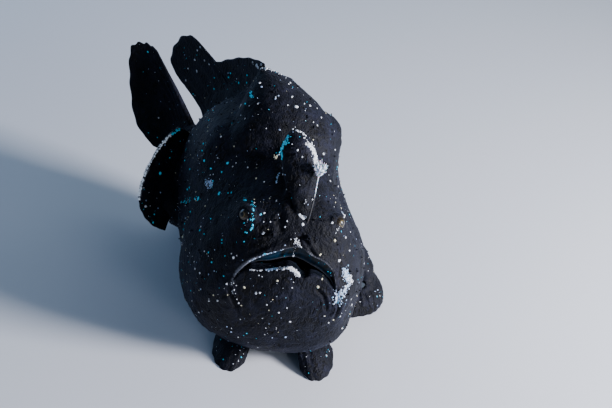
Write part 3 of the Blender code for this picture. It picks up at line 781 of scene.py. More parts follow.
def ease_lips(made):
    """Points close to either edge of the opening are drawn towards their neighbours."""
    points = points_of(made)
    weight = np.zeros(len(points))
    for levels in (UPPER_LIP_Z, LOWER_LIP_Z):
        away, _ = distance_to(points, lip_path(levels, 0, 0), 4)
        weight = np.maximum(weight, np.clip(1.4 - away / LIP_EASE, 0, 1))
    set_points(made, relaxed(points, edge_pairs(made), 5, share=weight[:, None], outwards=-0.2))


def valve_sheet():
    """A sheet from just above the upper lip's edge down to the valve's own edge, bowed forwards."""
    u, w = np.meshgrid(np.linspace(0, 1, 120), np.linspace(0, 1, 24), indexing="ij")
    x = LIP_X[0] + 0.6 + (LIP_X[-1] - LIP_X[0] - 1.2) * u
    top, edge = through(LIP_X, UPPER_LIP_Z, x) + 1.2, through(LIP_X, VALVE_EDGE_Z, x)
    z = top + (edge - top) * w
    front = np.array([on_face(*place)[1] for place in zip(x[:, 0], through(LIP_X, UPPER_LIP_Z, x[:, 0]))])
    y = front[:, None] + VALVE_BACK - 0.9 * np.sin(np.pi * w) + 0.5 * np.sin(9 * u + 2 * w)
    half = 0.28 + 0.22 * np.exp(-((1 - w) / 0.08) ** 2)
    return np.stack([x, y, z], -1), half, w


def depth_inside(made, outer):
    """How far each point near the mouth lies inside the uncut skin, in millimetres."""
    points = points_of(made)
    depth = np.zeros(len(points))
    near = (points[:, 1] < -55) & (np.abs(points[:, 0]) < 36) & (np.abs(points[:, 2] - 78) < 26)
    for number in np.flatnonzero(near):
        depth[number] = outer.find_nearest(Vector(points[number]))[3]
    return depth


uncut = BVHTree.FromPolygons(
    points_of(whole).tolist(), [tuple(face.vertices) for face in whole.data.polygons]
)
cut(whole, [hollow])
mouth_depth = depth_inside(whole, uncut)
ease_lips(whole)
valve_front, half, valve_w = valve_sheet()
valve = as_object("upper_lip_valve", sheet_shell(valve_front, half))
print("skin with its mouth open:", len(whole.data.polygons), "faces")

# %% [markdown]
# Colours and the node helper
#
# Colours are read as hex values, as on a paint chart, and turned to the linear values that the
# renderer works in. One helper adds a shader node with its settings and links.

# %% Colour and node helpers
def linear(code):
    """A hex colour as linear red, green, blue and alpha, by the sRGB curve."""
    parts = [int(code[k:k + 2], 16) / 255 for k in (1, 3, 5)]
    return (*(p / 12.92 if p <= 0.04045 else ((p + 0.055) / 1.055) ** 2.4 for p in parts), 1)


def add(tree, kind, inputs=None, **settings):
    """Adds a node, sets its properties, and gives each input a value or another node's output."""
    made = tree.nodes.new(kind)
    for name, value in settings.items():
        setattr(made, name, value)
    for socket, value in (inputs or {}).items():
        if isinstance(value, bpy.types.NodeSocket):
            tree.links.new(value, made.inputs[socket])
        else:
            made.inputs[socket].default_value = value
    return made


def new_material(name, **sockets):
    """A material with its Principled shader, whose plain values are set on its own sockets."""
    material = bpy.data.materials.new(name)
    material.use_nodes = True
    shader = material.node_tree.nodes["Principled BSDF"]
    for socket, value in sockets.items():
        shader.inputs[socket.replace("_", " ")].default_value = value
    return material, material.node_tree, shader


def millimetres(tree):
    """Object coordinates in millimetres, so that a texture's scale is one over its real size."""
    place = add(tree, "ShaderNodeTexCoord").outputs["Object"]
    return add(tree, "ShaderNodeVectorMath", {0: place, 1: (1000, 1000, 1000)},
               operation="MULTIPLY").outputs[0]


def ramp_of(tree, factor, stops):
    """A colour ramp from (position, hex) stops."""
    ramp = add(tree, "ShaderNodeValToRGB", {0: factor})
    elements = ramp.color_ramp.elements
    for number, (position, code) in enumerate(stops):
        stop = elements[number] if number < 2 else elements.new(position)
        stop.position, stop.color = position, linear(code)
    return ramp.outputs["Color"]


def dress(piece, material, *replaced, slot=None):
    """Gives a piece its one material, its body, and the solids that it stands for."""
    piece.data.materials.clear()
    piece.data.materials.append(material)
    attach(piece, "root")
    if replaced:
        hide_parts(*replaced)


print("black velvet:", [round(v, 4) for v in linear("#121317")])

# %% [markdown]
# Black velvet skin
#
# The skin is unscaled and slightly granular, so it scatters light softly and shows a faint grey-brown
# bloom on the lit side. Granules are about 0.8 mm, folds about 2 mm, pores 1.3 mm apart, and the
# smallest pale specks 0.3 to 0.6 mm across.

# %% Skin material
def skin_material():
    """Dark mottling, bloom, open pores and tiny specks by cell, with painted shade in the pits, the mouth and
    the bores, and a painted light band on the right pectoral.
    """
    material, tree, shader = new_material(
        "black_velvet_skin", Specular_IOR_Level=0.16, Sheen_Weight=0.08, Sheen_Roughness=0.45,
        Sheen_Tint=linear("#8e96b8"), IOR=1.4,
    )
    mm = millimetres(tree)
    broad = add(tree, "ShaderNodeTexNoise", {"Vector": mm, "Scale": 1 / 17, "Detail": 4.0})
    fine = add(tree, "ShaderNodeTexNoise", {"Vector": mm, "Scale": 1 / 2.6, "Detail": 5.0})
    tone = add(tree, "ShaderNodeMix", {0: 0.45, 2: broad.outputs[0], 3: fine.outputs[0]},
               data_type="FLOAT").outputs[0]
    colour = ramp_of(tree, tone, ((0.34, "#010205"), (0.68, "#1b1d2b"), (0.50, "#080a12")))
    clusters = add(tree, "ShaderNodeTexNoise", {"Vector": mm, "Scale": 1 / 11, "Detail": 2.0})
    upright = add(tree, "ShaderNodeVectorMath", {0: mm, 1: (1, 1, 0.45)}, operation="MULTIPLY")
    dimples = add(tree, "ShaderNodeTexNoise", {"Vector": upright.outputs[0], "Scale": 1 / 1.7,
                                               "Detail": 1.0})
    pits_and_painted_shade = add(tree, "ShaderNodeMath", {0: clusters.outputs[0], 1: dimples.outputs[0]},
                 operation="ADD")
    pits_and_painted_shade = add(tree, "ShaderNodeMapRange", {0: pits_and_painted_shade.outputs[0], 1: 1.10, 2: 1.20}).outputs[0]
    # Painted shade: the pits are darkened to near black, where the bump below also sinks them.
    colour = add(tree, "ShaderNodeMix", {0: pits_and_painted_shade, 6: colour, 7: linear("#020203")},
                 data_type="RGBA").outputs[2]
    for size, reach, share, code in ((4.6, 0.075, 0.30, "#cfd6da"), (3.1, 0.085, 0.16, "#8ec3d2")):
        cells = add(tree, "ShaderNodeTexVoronoi", {"Vector": mm, "Scale": 1 / size})
        pick = add(tree, "ShaderNodeSeparateColor", {0: cells.outputs["Color"]})
        chosen = add(tree, "ShaderNodeMath", {0: pick.outputs[0], 1: share}, operation="LESS_THAN")
        spread = add(tree, "ShaderNodeMath", {0: pick.outputs[1], 1: reach}, operation="MULTIPLY")
        inside = add(tree, "ShaderNodeMath", {0: cells.outputs["Distance"], 1: spread.outputs[0]},
                     operation="LESS_THAN")
        mask = add(tree, "ShaderNodeMath", {0: chosen.outputs[0], 1: inside.outputs[0]},
                   operation="MULTIPLY")
        colour = add(tree, "ShaderNodeMix", {0: mask.outputs[0], 6: colour, 7: linear(code)},
                     data_type="RGBA").outputs[2]
    # Pale fin margins, and on the right pectoral a painted light band, mixed in by the margin value.
    rim = add(tree, "ShaderNodeAttribute", attribute_name="margin")
    grain = add(tree, "ShaderNodeTexNoise", {"Vector": mm, "Scale": 1 / 3.5, "Detail": 3.0})
    margin_and_painted_light_mask = add(tree, "ShaderNodeMath", {0: rim.outputs["Fac"], 1: grain.outputs[0]},
                   operation="MULTIPLY")
    margin_and_painted_light_mask = add(tree, "ShaderNodeMapRange", {0: margin_and_painted_light_mask.outputs[0], 1: 0.34, 2: 0.60, 4: 0.75})
    colour = add(tree, "ShaderNodeMix", {0: margin_and_painted_light_mask.outputs[0], 6: colour, 7: linear("#8d949b")},
                 data_type="RGBA").outputs[2]
    lip = add(tree, "ShaderNodeAttribute", attribute_name="lip").outputs["Fac"]
    colour = add(tree, "ShaderNodeMix", {0: lip, 6: colour, 7: linear("#73757d")},
                 data_type="RGBA").outputs[2]
    # Painted shade: points deep inside the mouth and in the bores of the tubes turn near black.
    inner = add(tree, "ShaderNodeAttribute", attribute_name="inner").outputs["Fac"]
    colour = add(tree, "ShaderNodeMix", {0: inner, 6: colour, 7: linear("#03070a")},
                 data_type="RGBA").outputs[2]
    tree.links.new(colour, shader.inputs["Base Color"])
    rough = add(tree, "ShaderNodeMapRange", {0: fine.outputs[0], 1: 0.3, 2: 0.7, 3: 0.55, 4: 0.75})
    rough = add(tree, "ShaderNodeMix", {0: inner, 2: rough.outputs[0], 3: 0.35}, data_type="FLOAT")
    tree.links.new(rough.outputs[0], shader.inputs["Roughness"])
    pores = add(tree, "ShaderNodeTexVoronoi", {"Vector": mm, "Scale": 1 / 1.3})
    pore = add(tree, "ShaderNodeMapRange", {0: pores.outputs["Distance"], 1: 0.05, 2: 0.28})
    granules = add(tree, "ShaderNodeTexVoronoi", {"Vector": mm, "Scale": 1 / 0.85}, feature="SMOOTH_F1")
    folds = add(tree, "ShaderNodeTexNoise", {"Vector": mm, "Scale": 1 / 2.4, "Detail": 4.0,
                                             "Distortion": 0.3})
    first = add(tree, "ShaderNodeBump", {"Height": folds.outputs[0], "Distance": 0.0012,
                                         "Strength": 0.42})
    second = add(tree, "ShaderNodeBump", {"Height": granules.outputs["Distance"], "Distance": 0.0004,
                                          "Strength": 0.8, "Normal": first.outputs[0]}, invert=True)
    third = add(tree, "ShaderNodeBump", {"Height": pore.outputs[0], "Distance": 0.00025,
                                         "Strength": 0.5, "Normal": second.outputs[0]})
    last = add(tree, "ShaderNodeBump", {"Height": pits_and_painted_shade, "Distance": 0.0004, "Strength": 0.7,
                                        "Normal": third.outputs[0]}, invert=True)
    tree.links.new(last.outputs[0], shader.inputs["Normal"])
    return material


SKIN = skin_material()
skin = whole
skin.name = "skin"
dress(skin, SKIN, "head", "lower_jaw", "torso", "tail", "second_dorsal_spine", "third_dorsal_spine",
      "pectoral_arm_left", "pectoral_arm_right", slot="skin")
print("skin dressed")

# %% [markdown]
# Lips and the inside of the mouth
#
# The upper lip is smoother and paler than the face, most of all at the fish's right corner. Behind
# the lips the lining is wet, and it is painted dark as the shade inside the mouth. Both are numbers on
# the skin's points: nearness to the line of the upper lip, and depth below the outer skin.

# %% Lip and mouth values
LIP_SHARE = (0, 0.05, 0.17, 0.30, 0.50, 0.60, 0.80, 1)
LIP_PALE = (0.35, 0.90, 0.80, 0.30, 0.22, 0.30, 0.34, 0.15)
LIP_WIDTH = (1.0, 1.5, 1.4, 0.7, 0.6, 0.9, 1.0, 0.8)


def point_values(piece, name, values):
    """A number for every point of the mesh, which the material can read by its name."""
    layer = piece.data.attributes.new(name, "FLOAT", "POINT")
    layer.data.foreach_set("value", np.asarray(values, np.float32))


away, share = distance_to(points_of(skin), lip_path(UPPER_LIP_Z, 0, 0), 6)
pale = np.interp(share, LIP_SHARE, LIP_PALE) * np.exp(-(away / np.interp(share, LIP_SHARE, LIP_WIDTH)) ** 4)
point_values(skin, "lip", pale)
# Painted shade: skin more than 0.7 mm inside the uncut surface, the inside of the mouth, is darkened.
point_values(skin, "inner", np.clip((mouth_depth - 0.7) / 0.9, 0, 1))
print("lip values up to", pale.max().round(2))

# %% Fin pieces
MARGIN_PALE = {"pectoral_fin_right": 0.9, "caudal_fin": 0.55, "pectoral_fin_left": 0.45}
fin_sheets, fin_halves = {}, {}
for name, shape in FINS.items():
    sheet, half, u, w = fin_surface(**shape)
    piece = as_object(name + "_skin", sheet_shell(sheet, half))
    points = points_of(piece)
    points[:, 2] = np.maximum(points[:, 2], 0.05)
    set_points(piece, points)
    pale = MARGIN_PALE.get(name, 0.3) * np.clip((w - 0.965) / 0.03, 0, 1)
    if name == "pectoral_fin_right":
        upper = np.clip((0.64 - u) / 0.06, 0, 1)
        # Painted light: a paler band across the outer part of the right pectoral, whose face lies in shade.
        painted_light_band = 0.85 * np.clip((w - 0.74) / 0.1, 0, 1) * np.clip((u - 0.33) / 0.08, 0, 1)
        pale = np.maximum(pale, painted_light_band) * upper
    point_values(piece, "margin", np.tile(pale.ravel(), 2))
    dress(piece, SKIN, name, slot="fin_membrane")
    fin_sheets[name], fin_halves[name] = sheet, half
print("fins dressed")

# %% [markdown]
# Lip valve
#
# The valve behind the upper lip is smooth wet skin, so it is darker, bluer and glossier than the face.

# %% Valve material
def valve_material():
    """Blue-black wet skin, paler towards its free edge."""
    material, tree, shader = new_material("wet_lip_skin", Roughness=0.34, Specular_IOR_Level=0.14)
    mm = millimetres(tree)
    edge = add(tree, "ShaderNodeAttribute", attribute_name="edge").outputs["Fac"]
    patch = add(tree, "ShaderNodeTexNoise", {"Vector": mm, "Scale": 1 / 4, "Detail": 3.0}).outputs[0]
    blue = ramp_of(tree, patch, ((0.40, "#010304"), (0.66, "#021f30")))
    colour = add(tree, "ShaderNodeMix", {0: edge, 6: blue, 7: linear("#3c3e44")}, data_type="RGBA")
    tree.links.new(colour.outputs[2], shader.inputs["Base Color"])
    return material


sheet_valve = valve_front - (0, 0.35, 0)
point_values(valve, "edge", np.tile(np.exp(-((1 - valve_w) / 0.09) ** 2).ravel(), 2))
dress(valve, valve_material())
print("valve dressed")

# %% [markdown]
# Eyes
#
# A frogfish's eye is coloured like its skin, with short dark and light streaks round a small pupil,
# and it is wet. One ball carries all of it: its points know their angle from the line of sight, and
# the clear coat gives the wet shine. The front bulges a little, as a cornea does.

# %% Eyeballs
PUPIL, PUPIL_RIM, IRIS = 0.30, 0.38, 0.95


def eyeball(side):
    """A ball with its poles on the line of sight, pushed out by up to 7% at the front."""
    centre, look = eyes[side]
    look = look / np.linalg.norm(look)
    across = np.cross(look, (0, 0, 1))
    across /= np.linalg.norm(across)
    upward = np.cross(across, look)
    polar, turn = np.meshgrid(
        np.linspace(0, np.pi, 40), np.arange(64) * 2 * np.pi / 64, indexing="ij"
    )
    radius = EYE_RADIUS * (1 + 0.07 * np.exp(-(polar / 0.55) ** 2))
    spoke = np.cos(turn)[..., None] * across + np.sin(turn)[..., None] * upward
    grid = centre + radius[..., None] * (
        np.cos(polar)[..., None] * look + np.sin(polar)[..., None] * spoke
    )
    made = as_object("eyeball_" + side, tube_shell(grid))
    inner = np.concatenate([[0], polar[1:-1].ravel(), [np.pi]])
    spokes = np.concatenate([[0], turn[1:-1].ravel(), [0]])
    point_values(made, "polar", inner)
    point_values(made, "streak", 0.5 + 0.5 * np.sin(17 * spokes + 2 * np.sin(3 * spokes)))
    return made


def eye_material():
    """Black pupil, thin dull gold rim, then brown-black streaks, under a clear wet coat."""
    material, tree, shader = new_material(
        "wet_eye", Roughness=0.35, Coat_Weight=0.5, Coat_Roughness=0.05, Specular_IOR_Level=0.2,
    )
    polar = add(tree, "ShaderNodeAttribute", attribute_name="polar").outputs["Fac"]
    streak = add(tree, "ShaderNodeAttribute", attribute_name="streak").outputs["Fac"]
    iris = ramp_of(tree, streak, ((0.2, "#0a0908"), (0.9, "#2b241a")))
    out = add(tree, "ShaderNodeMapRange", {0: polar, 1: PUPIL_RIM, 2: PUPIL_RIM + 0.06}).outputs[0]
    colour = add(tree, "ShaderNodeMix", {0: out, 6: linear("#4f4427"), 7: iris}, data_type="RGBA")
    black = add(tree, "ShaderNodeMath", {0: polar, 1: PUPIL}, operation="LESS_THAN").outputs[0]
    colour = add(tree, "ShaderNodeMix", {0: black, 6: colour.outputs[2], 7: linear("#020203")},
                 data_type="RGBA")
    far = add(tree, "ShaderNodeMath", {0: polar, 1: IRIS}, operation="GREATER_THAN").outputs[0]
    colour = add(tree, "ShaderNodeMix", {0: far, 6: colour.outputs[2], 7: linear("#0b0a0b")},
                 data_type="RGBA")
    tree.links.new(colour.outputs[2], shader.inputs["Base Color"])
    return material


EYE = eye_material()
for side in eyes:
    dress(eyeball(side), EYE, "eye_" + side, slot="eye")
print("eyes dressed")

# %% [markdown]
# The lure
#
# The first spine is a fishing rod. It is thin and pale, and at its end sits the bait, a tuft of soft
# lobes round a lump of flesh. A model maker casts each lobe in silicone and glues them on one by one.

# %% Rod and bait
ROD = [(8, -85, 102), (9.5, -83, 112), (10.5, -79.5, 120), (11, -76, 127), (11.4, -74.4, 130.5)]
BAIT_CENTRE = np.array((11.3, -74.0, 132.6))
BAIT_HALF = (2.5, 2.1, 3.6)
LOBE_COUNT = 46


def bait_lobe(rng):
    """A thin tube that starts inside the lump, leans outwards and then curls up."""
    turn, rise = rng.uniform(0, 2 * np.pi), rng.uniform(-0.75, 1.0)
    flat = math.sqrt(1 - min(rise * rise, 0.96))
    out = np.array((flat * math.cos(turn), flat * math.sin(turn), rise))
    start = BAIT_CENTRE + out * BAIT_HALF * 0.6
    length = rng.uniform(1.6, 3.4)
    lean = out * (1, 0.8, 1) + (0, 0, 0.25)
    path = [start, start + 0.5 * length * lean, start + length * lean + (0, 0, 0.35 * length)]
    size = rng.uniform(0.32, 0.62)
    return tube_shell(tube_along(path, (size, size, 0.35 * size), (size, size, 0.35 * size),
                                 (0.2, 1, 0.1), 9, 8))


def lump_shell():
    """An ellipsoid with soft lumps."""
    polar, turn = np.meshgrid(np.linspace(0, np.pi, 24), np.arange(32) * np.pi / 16, indexing="ij")
    grow = 1 + 0.13 * np.sin(5 * turn + 3 * polar) * np.sin(polar) + 0.08 * np.sin(9 * polar)
    ball = np.stack([np.sin(polar) * np.cos(turn), np.sin(polar) * np.sin(turn), np.cos(polar)], -1)
    return tube_shell(BAIT_CENTRE + ball * grow[..., None] * BAIT_HALF)


def lure_material():
    """Off-white soft flesh that lets some light in, freckled grey; the rod's foot is dark as skin."""
    material, tree, shader = new_material(
        "pale_lure_flesh", Roughness=0.5, Subsurface_Weight=0.25, Subsurface_Scale=0.001,
    )
    spots = add(tree, "ShaderNodeTexNoise", {"Vector": millimetres(tree), "Scale": 1 / 1.1,
                                             "Detail": 3.0}).outputs[0]
    colour = ramp_of(tree, spots, ((0.34, "#6f7f96"), (0.54, "#dde4ea")))
    foot = add(tree, "ShaderNodeAttribute", attribute_name="foot").outputs["Fac"]
    colour = add(tree, "ShaderNodeMix", {0: foot, 6: colour, 7: linear("#0d0d10")}, data_type="RGBA")
    tree.links.new(colour.outputs[2], shader.inputs["Base Color"])
    return material


LURE = lure_material()
rod = as_object("lure_rod", tube_shell(tube_along(
    ROD, (0.8, 0.5, 0.34, 0.32, 0.5), (0.8, 0.5, 0.34, 0.32, 0.5), (1, 0, 0), 60, 14)))
point_values(rod, "foot", np.clip((121 - points_of(rod)[:, 2]) / 2.5, 0, 1))
dress(rod, LURE, "illicium", slot="lure")
rng = np.random.default_rng(SEED)
bait = as_object("lure_bait", joined([lump_shell()] + [bait_lobe(rng) for _ in range(LOBE_COUNT)]))
dress(bait, LURE, "esca", slot="lure")
print("lure with", LOBE_COUNT, "lobes")

# %% [markdown]
# Nostrils and gill pores
#
# Each front nostril is a short tube of skin. The gills open behind each arm by one small round pore
# with a swollen rim, far smaller than the gill cover of most fishes. Both are the same turned profile
# at two sizes, seated in the skin, and the bore of each is painted dark as shade.

# %% Tubes with a bore
TUBE_PROFILE = ((0, -1.6), (2.1, -1.5), (1.8, 0.2), (1.4, 1.5), (1.2, 2.3), (0.95, 2.6), (0.72, 2.35),
                (0.6, 1.4), (0.5, 0.2), (0, 0.1))


def turned_tube(seat, course, size, height):
    """The profile turned round its course, with a slight oval and wobble."""
    course = np.asarray(course, float) / np.linalg.norm(course)
    across = np.cross(course, (0.2, 0.1, 1))
    across /= np.linalg.norm(across)
    other = np.cross(course, across)
    turn = np.arange(28) * 2 * np.pi / 28
    radius, rise = np.array([through(range(10), column, np.linspace(0, 9, 40))
                             for column in np.array(TUBE_PROFILE).T])
    radius = size * np.maximum(radius, 0)[:, None] * (1 + 0.06 * np.sin(3 * turn))
    spoke = np.cos(turn)[:, None] * across + 0.85 * np.sin(turn)[:, None] * other
    return tube_shell(seat + radius[..., None] * spoke + height * rise[:, None, None] * course)


def bore_depth(made, seats):
    """1 inside the bore and 0 on the outside, by distance from each tube's axis; the skin material darkens
    the bore by it, as painted shade.
    """
    points, value = points_of(made), np.zeros(len(made.data.vertices))
    for seat, course, size, _ in seats:
        course = np.asarray(course, float) / np.linalg.norm(course)
        along = (points - seat) @ course
        out = np.linalg.norm(points - seat - along[:, None] * course, axis=1)
        value = np.maximum(value, (out < 0.8 * size) & (along > -0.8))
    return value


skin_points = points_of(skin)
skin_tree = BVHTree.FromPolygons(
    skin_points.tolist(), [tuple(face.vertices) for face in skin.data.polygons]
)


def on_skin(place):
    """The nearest point of the skin and its normal."""
    point, normal, _, _ = skin_tree.find_nearest(Vector(place))
    return np.array(point), np.array(normal)


seats = [(on_face(side * 9.5, 98), (0.3 * side, -1, 0.35), 1.0, 1.0) for side in (-1, 1)]
for place in ((-64, 17, 34), (47, 17, 20)):
    seat, outwards = on_skin(place)
    seats.append((seat, outwards + (0, 0.5, -0.2), 2.4, 0.7))
tubes = as_object("nostrils_and_gill_pores", joined([turned_tube(*seat) for seat in seats]))
# Painted shade: the bores are darkened through the skin's inner value.
point_values(tubes, "inner", bore_depth(tubes, seats))
dress(tubes, SKIN, slot="skin")
print("nostrils and gill pores at", [np.round(seat[0]).tolist() for seat in seats])

# %% [markdown]
# Pale growths
#
# Small crusts of algae and sponge-like growth settle on the skin: single dots 1 to 2 mm across, and
# dense frosting along the club, the lower lip and the left corner of the mouth. Each growth is a low
# dome that sits in the skin. They are one piece, so that they can be changed or left off together.

# %% Places of the growths
WHITE, PALE_BLUE, BLUE, RIM_WHITE, CREAM = 0.0, 0.2, 0.5, 0.78, 1.0
# Streaks: tint, count, spread, smallest and largest radius, and the line that they follow.
STREAKS = (
    (WHITE, 30, 0.5, 0.2, 0.7, [(-6, -57, 147), (-2, -58, 147), (0, -60, 146), (3, -63, 144)]),
    (WHITE, 200, 0.95, 0.25, 0.7, [(3.4, -64.2, 142.4), (6.5, -64, 140), (8.5, -66, 136.5), (9.8, -70, 133)]),
    (PALE_BLUE, 40, 1.1, 0.2, 0.5, [(6.5, -64, 140), (9, -66, 135), (10, -70, 132)]),
    (BLUE, 170, 0.85, 0.3, 0.75, [(-7, -60.5, 143.5), (-8.6, -62.5, 141), (-9.8, -63.5, 137),
                                 (-9.2, -66.5, 133.5)]),
    (BLUE, 40, 0.6, 0.25, 0.5, [(-8, -41, 131), (-9.5, -44, 129), (-11, -49, 125)]),
    (CREAM, 8, 0.6, 0.3, 0.7, [(-13, -50, 125), (-14, -51, 124)]),
    (BLUE, 30, 0.4, 0.25, 0.55, [(-32.1, -15, 146.3), (-32.5, -16.6, 145.1), (-31.1, -19.7, 144.8)]),
    (PALE_BLUE, 40, 0.2, 0.2, 0.35, [(-10, -60, 120), (-11, -63, 118), (-11, -66, 116)]),
    (PALE_BLUE, 64, 1.0, 0.25, 0.65, [(-51.7, -41.7, 97.7), (-49, -45.2, 98.8), (-49.2, -46.8, 96.3)]),
    (BLUE, 34, 0.7, 0.2, 0.55, [(-68.8, -13.6, 62.6), (-64.6, -26.5, 72.6), (-58, -40.4, 83.5),
                               (-55.4, -43.8, 86.7)]),
    (WHITE, 6, 0.5, 0.2, 0.4, [(6, -78.8, 116.1), (5.2, -79.5, 113.8)]),
    (WHITE, 44, 0.5, 0.25, 0.6, [(3.3, -83, 107.9), (5.1, -83.4, 107.1), (6.8, -83.4, 106.6)]),
    (PALE_BLUE, 26, 0.25, 0.2, 0.5, [(30.9, -60, 101), (30.4, -66, 104.5), (28.6, -72, 105)]),
    (WHITE, 22, 0.4, 0.3, 0.7, [(28.6, -72, 105), (27.6, -74, 105)]),
    (WHITE, 9, 0.3, 0.2, 0.4, [(26.5, -79.5, 103.5), (25.5, -81.2, 100.6), (24.6, -83.5, 99.3)]),
    (BLUE, 14, 0.25, 0.3, 0.6, [(-27.6, -71, 106), (-26.8, -72.5, 106)]),
    (BLUE, 22, 0.35, 0.2, 0.45, [(-23.5, -74.1, 107.7), (-22.8, -77.8, 106.8), (-22.3, -83, 105.6)]),
    (BLUE, 12, 0.4, 0.2, 0.5, [(-22.2, -84.1, 104.9), (-21.6, -85, 102.6), (-23.3, -84.8, 102.5)]),
    (BLUE, 26, 0.3, 0.25, 0.55, [(-21.3, -86.2, 99.8), (-21.6, -86.9, 98.2), (-22.4, -87.3, 96.8)]),
    (WHITE, 46, 0.9, 0.2, 0.5, [(2.2, -90.8, 96.2), (3.7, -91, 96), (4.6, -93, 94)]),
    (PALE_BLUE, 130, 1.1, 0.25, 0.65, [(32.4, -88.9, 79.5), (34.5, -88.8, 75), (37, -87.4, 70.5)]),
    (WHITE, 40, 0.8, 0.25, 0.6, [(36.5, -87, 74), (38.2, -86, 69)]),
    (PALE_BLUE, 60, 1.0, 0.25, 0.6, [(36.9, -88.5, 69.3), (34.9, -92.1, 67.4)]),
    (PALE_BLUE, 150, 1.3, 0.25, 0.7, [(35.5, -91.5, 66.5), (31.5, -95, 66.5), (31, -96, 63),
                                      (33.5, -94.5, 61)]),
    (WHITE, 26, 0.6, 0.2, 0.5, [(-20.1, -98.3, 79.2), (-18.5, -98.5, 80.2), (-13, -99, 80)]),
    (PALE_BLUE, 80, 0.6, 0.25, 0.6, [(-11.1, -98.3, 79.6), (-7.9, -98.4, 80.3), (-4.6, -98.5, 81.2)]),
    (WHITE, 190, 0.75, 0.3, 0.75, [(-3.5, -99.2, 82.3), (0.1, -99.9, 84.4), (2.9, -99.8, 83.9),
                                  (5.4, -99.9, 81.3), (6.5, -99.4, 79.3)]),
    (PALE_BLUE, 40, 0.3, 0.2, 0.4, [(-21, -96, 81.5), (-15, -96, 86), (-9, -96, 89), (-2, -96, 92)]),
    (WHITE, 30, 1.0, 0.3, 0.8, [(-28.5, 3, 155), (-27, 1, 155.5), (-25, 0, 155.8), (-21, -0.5, 155)]),
    (WHITE, 18, 1.2, 0.2, 0.45, [(-27, -99, 60), (-29, -98, 64), (-29, -97, 69)]),
)
# Single dots: place and radius.
WHITE_DOTS = (
    (-28, -13, 152, 0.8), (-17, -3, 157, 0.8), (-10, -11, 154, 0.8), (-8, -20, 149, 0.9),
    (-5, -25, 145, 1.3), (-10, -26, 146, 0.7), (3, -19, 144, 0.9), (10, -21, 138, 0.8),
    (6, -28, 138, 0.7), (21, -23, 119, 0.8), (-2, -68, 140, 0.8), (1, -69, 137, 0.8),
    (13, -34, 121, 0.8), (14, -75, 132, 0.8), (18, -48, 110, 0.8), (-18, -64, 115, 0.8),
    (-16, -82, 106, 0.9), (-10, -76, 111, 0.7), (-34, -30, 136, 0.8), (6, -86, 104, 0.9),
    (22, -81, 104, 0.8), (25, -36, 98, 0.8), (35, -39, 87, 0.9), (31, -80, 95, 0.8),
    (-15, -89, 97, 0.9), (-30, -91, 80, 1.0), (-32, -96, 65, 0.9), (-36, -95, 52, 1.0),
    (-24, -99, 55, 0.7), (-15, -100, 64, 0.8), (-13, -101, 65, 0.7), (-1, -102, 54, 0.8),
    (29, -89, 85, 0.9), (34, -81, 87, 0.7), (43, -67, 39, 0.9), (34, -92, 49, 0.8),
    (28, -95, 46, 0.8), (25, -98, 52, 0.7), (-53, -73, 61, 0.8), (-52, -77, 59, 0.9),
    (-47, -77, 72, 0.7), (-52, -61, 78, 0.6), (-67, -15, 79, 0.6), (-25, 0, 156, 1.4),
    (-28, 1, 155.5, 1.2), (-19, -1, 154.6, 0.7), (-16, -3, 154, 0.8), (-13, -5, 153, 0.7),
    (-10, -8, 152, 0.8),
)
BLUE_DOTS = (
    (-43, -55, 98, 0.9), (-38, -59, 102, 0.6), (-25, -89, 90, 0.6), (-24, -87, 95, 0.7),
    (-50, -39, 105, 0.9), (-40, -43, 112, 0.9), (-25, -87, 95, 0.7), (-36, -21, 142, 0.9),
    (-65, -23, 79, 1.0), (-79, -2, 44, 0.8), (-40, -43, 112, 0.9), (-43, -55, 99, 0.9),
    (-36, -60, 103, 0.7), (-64, -17, 90, 0.8), (-43, -45, 107, 0.7), (-69, -2, 87, 0.7),
    (-54, -32, 106, 0.8), (-57, -26, 109, 0.7), (-42, -84, 70, 0.8), (-52, -62, 76, 0.8),
    (-38, -81, 84, 0.7),
)
CREAM_DOTS = ((25, -86, 96, 1.0), (-64, -37, 53, 1.2), (19, -99, 72, 0.9), (-22, -99, 66, 0.9))
# Dots on the lip valve: share from right to left, share from its root to its edge, radius, tint.
VALVE_DOTS = (
    (0.548, 0.88, 0.70, WHITE), (0.560, 0.84, 0.45, WHITE), (0.552, 0.72, 0.18, WHITE),
    (0.553, 0.58, 0.18, WHITE), (0.555, 0.44, 0.18, WHITE), (0.555, 0.30, 0.20, WHITE),
    (0.553, 0.16, 0.20, WHITE), (0.59, 0.12, 0.22, BLUE), (0.615, 0.10, 0.15, PALE_BLUE),
    (0.635, 0.20, 0.28, BLUE), (0.66, 0.12, 0.14, PALE_BLUE), (0.69, 0.30, 0.28, BLUE),
    (0.705, 0.40, 0.20, BLUE), (0.75, 0.16, 0.14, PALE_BLUE), (0.80, 0.55, 0.15, BLUE),
    (0.86, 0.35, 0.15, BLUE), (0.90, 0.64, 0.32, BLUE), (0.925, 0.56, 0.38, BLUE),
    (0.94, 0.68, 0.22, PALE_BLUE), (0.47, 0.90, 0.20, BLUE),
)
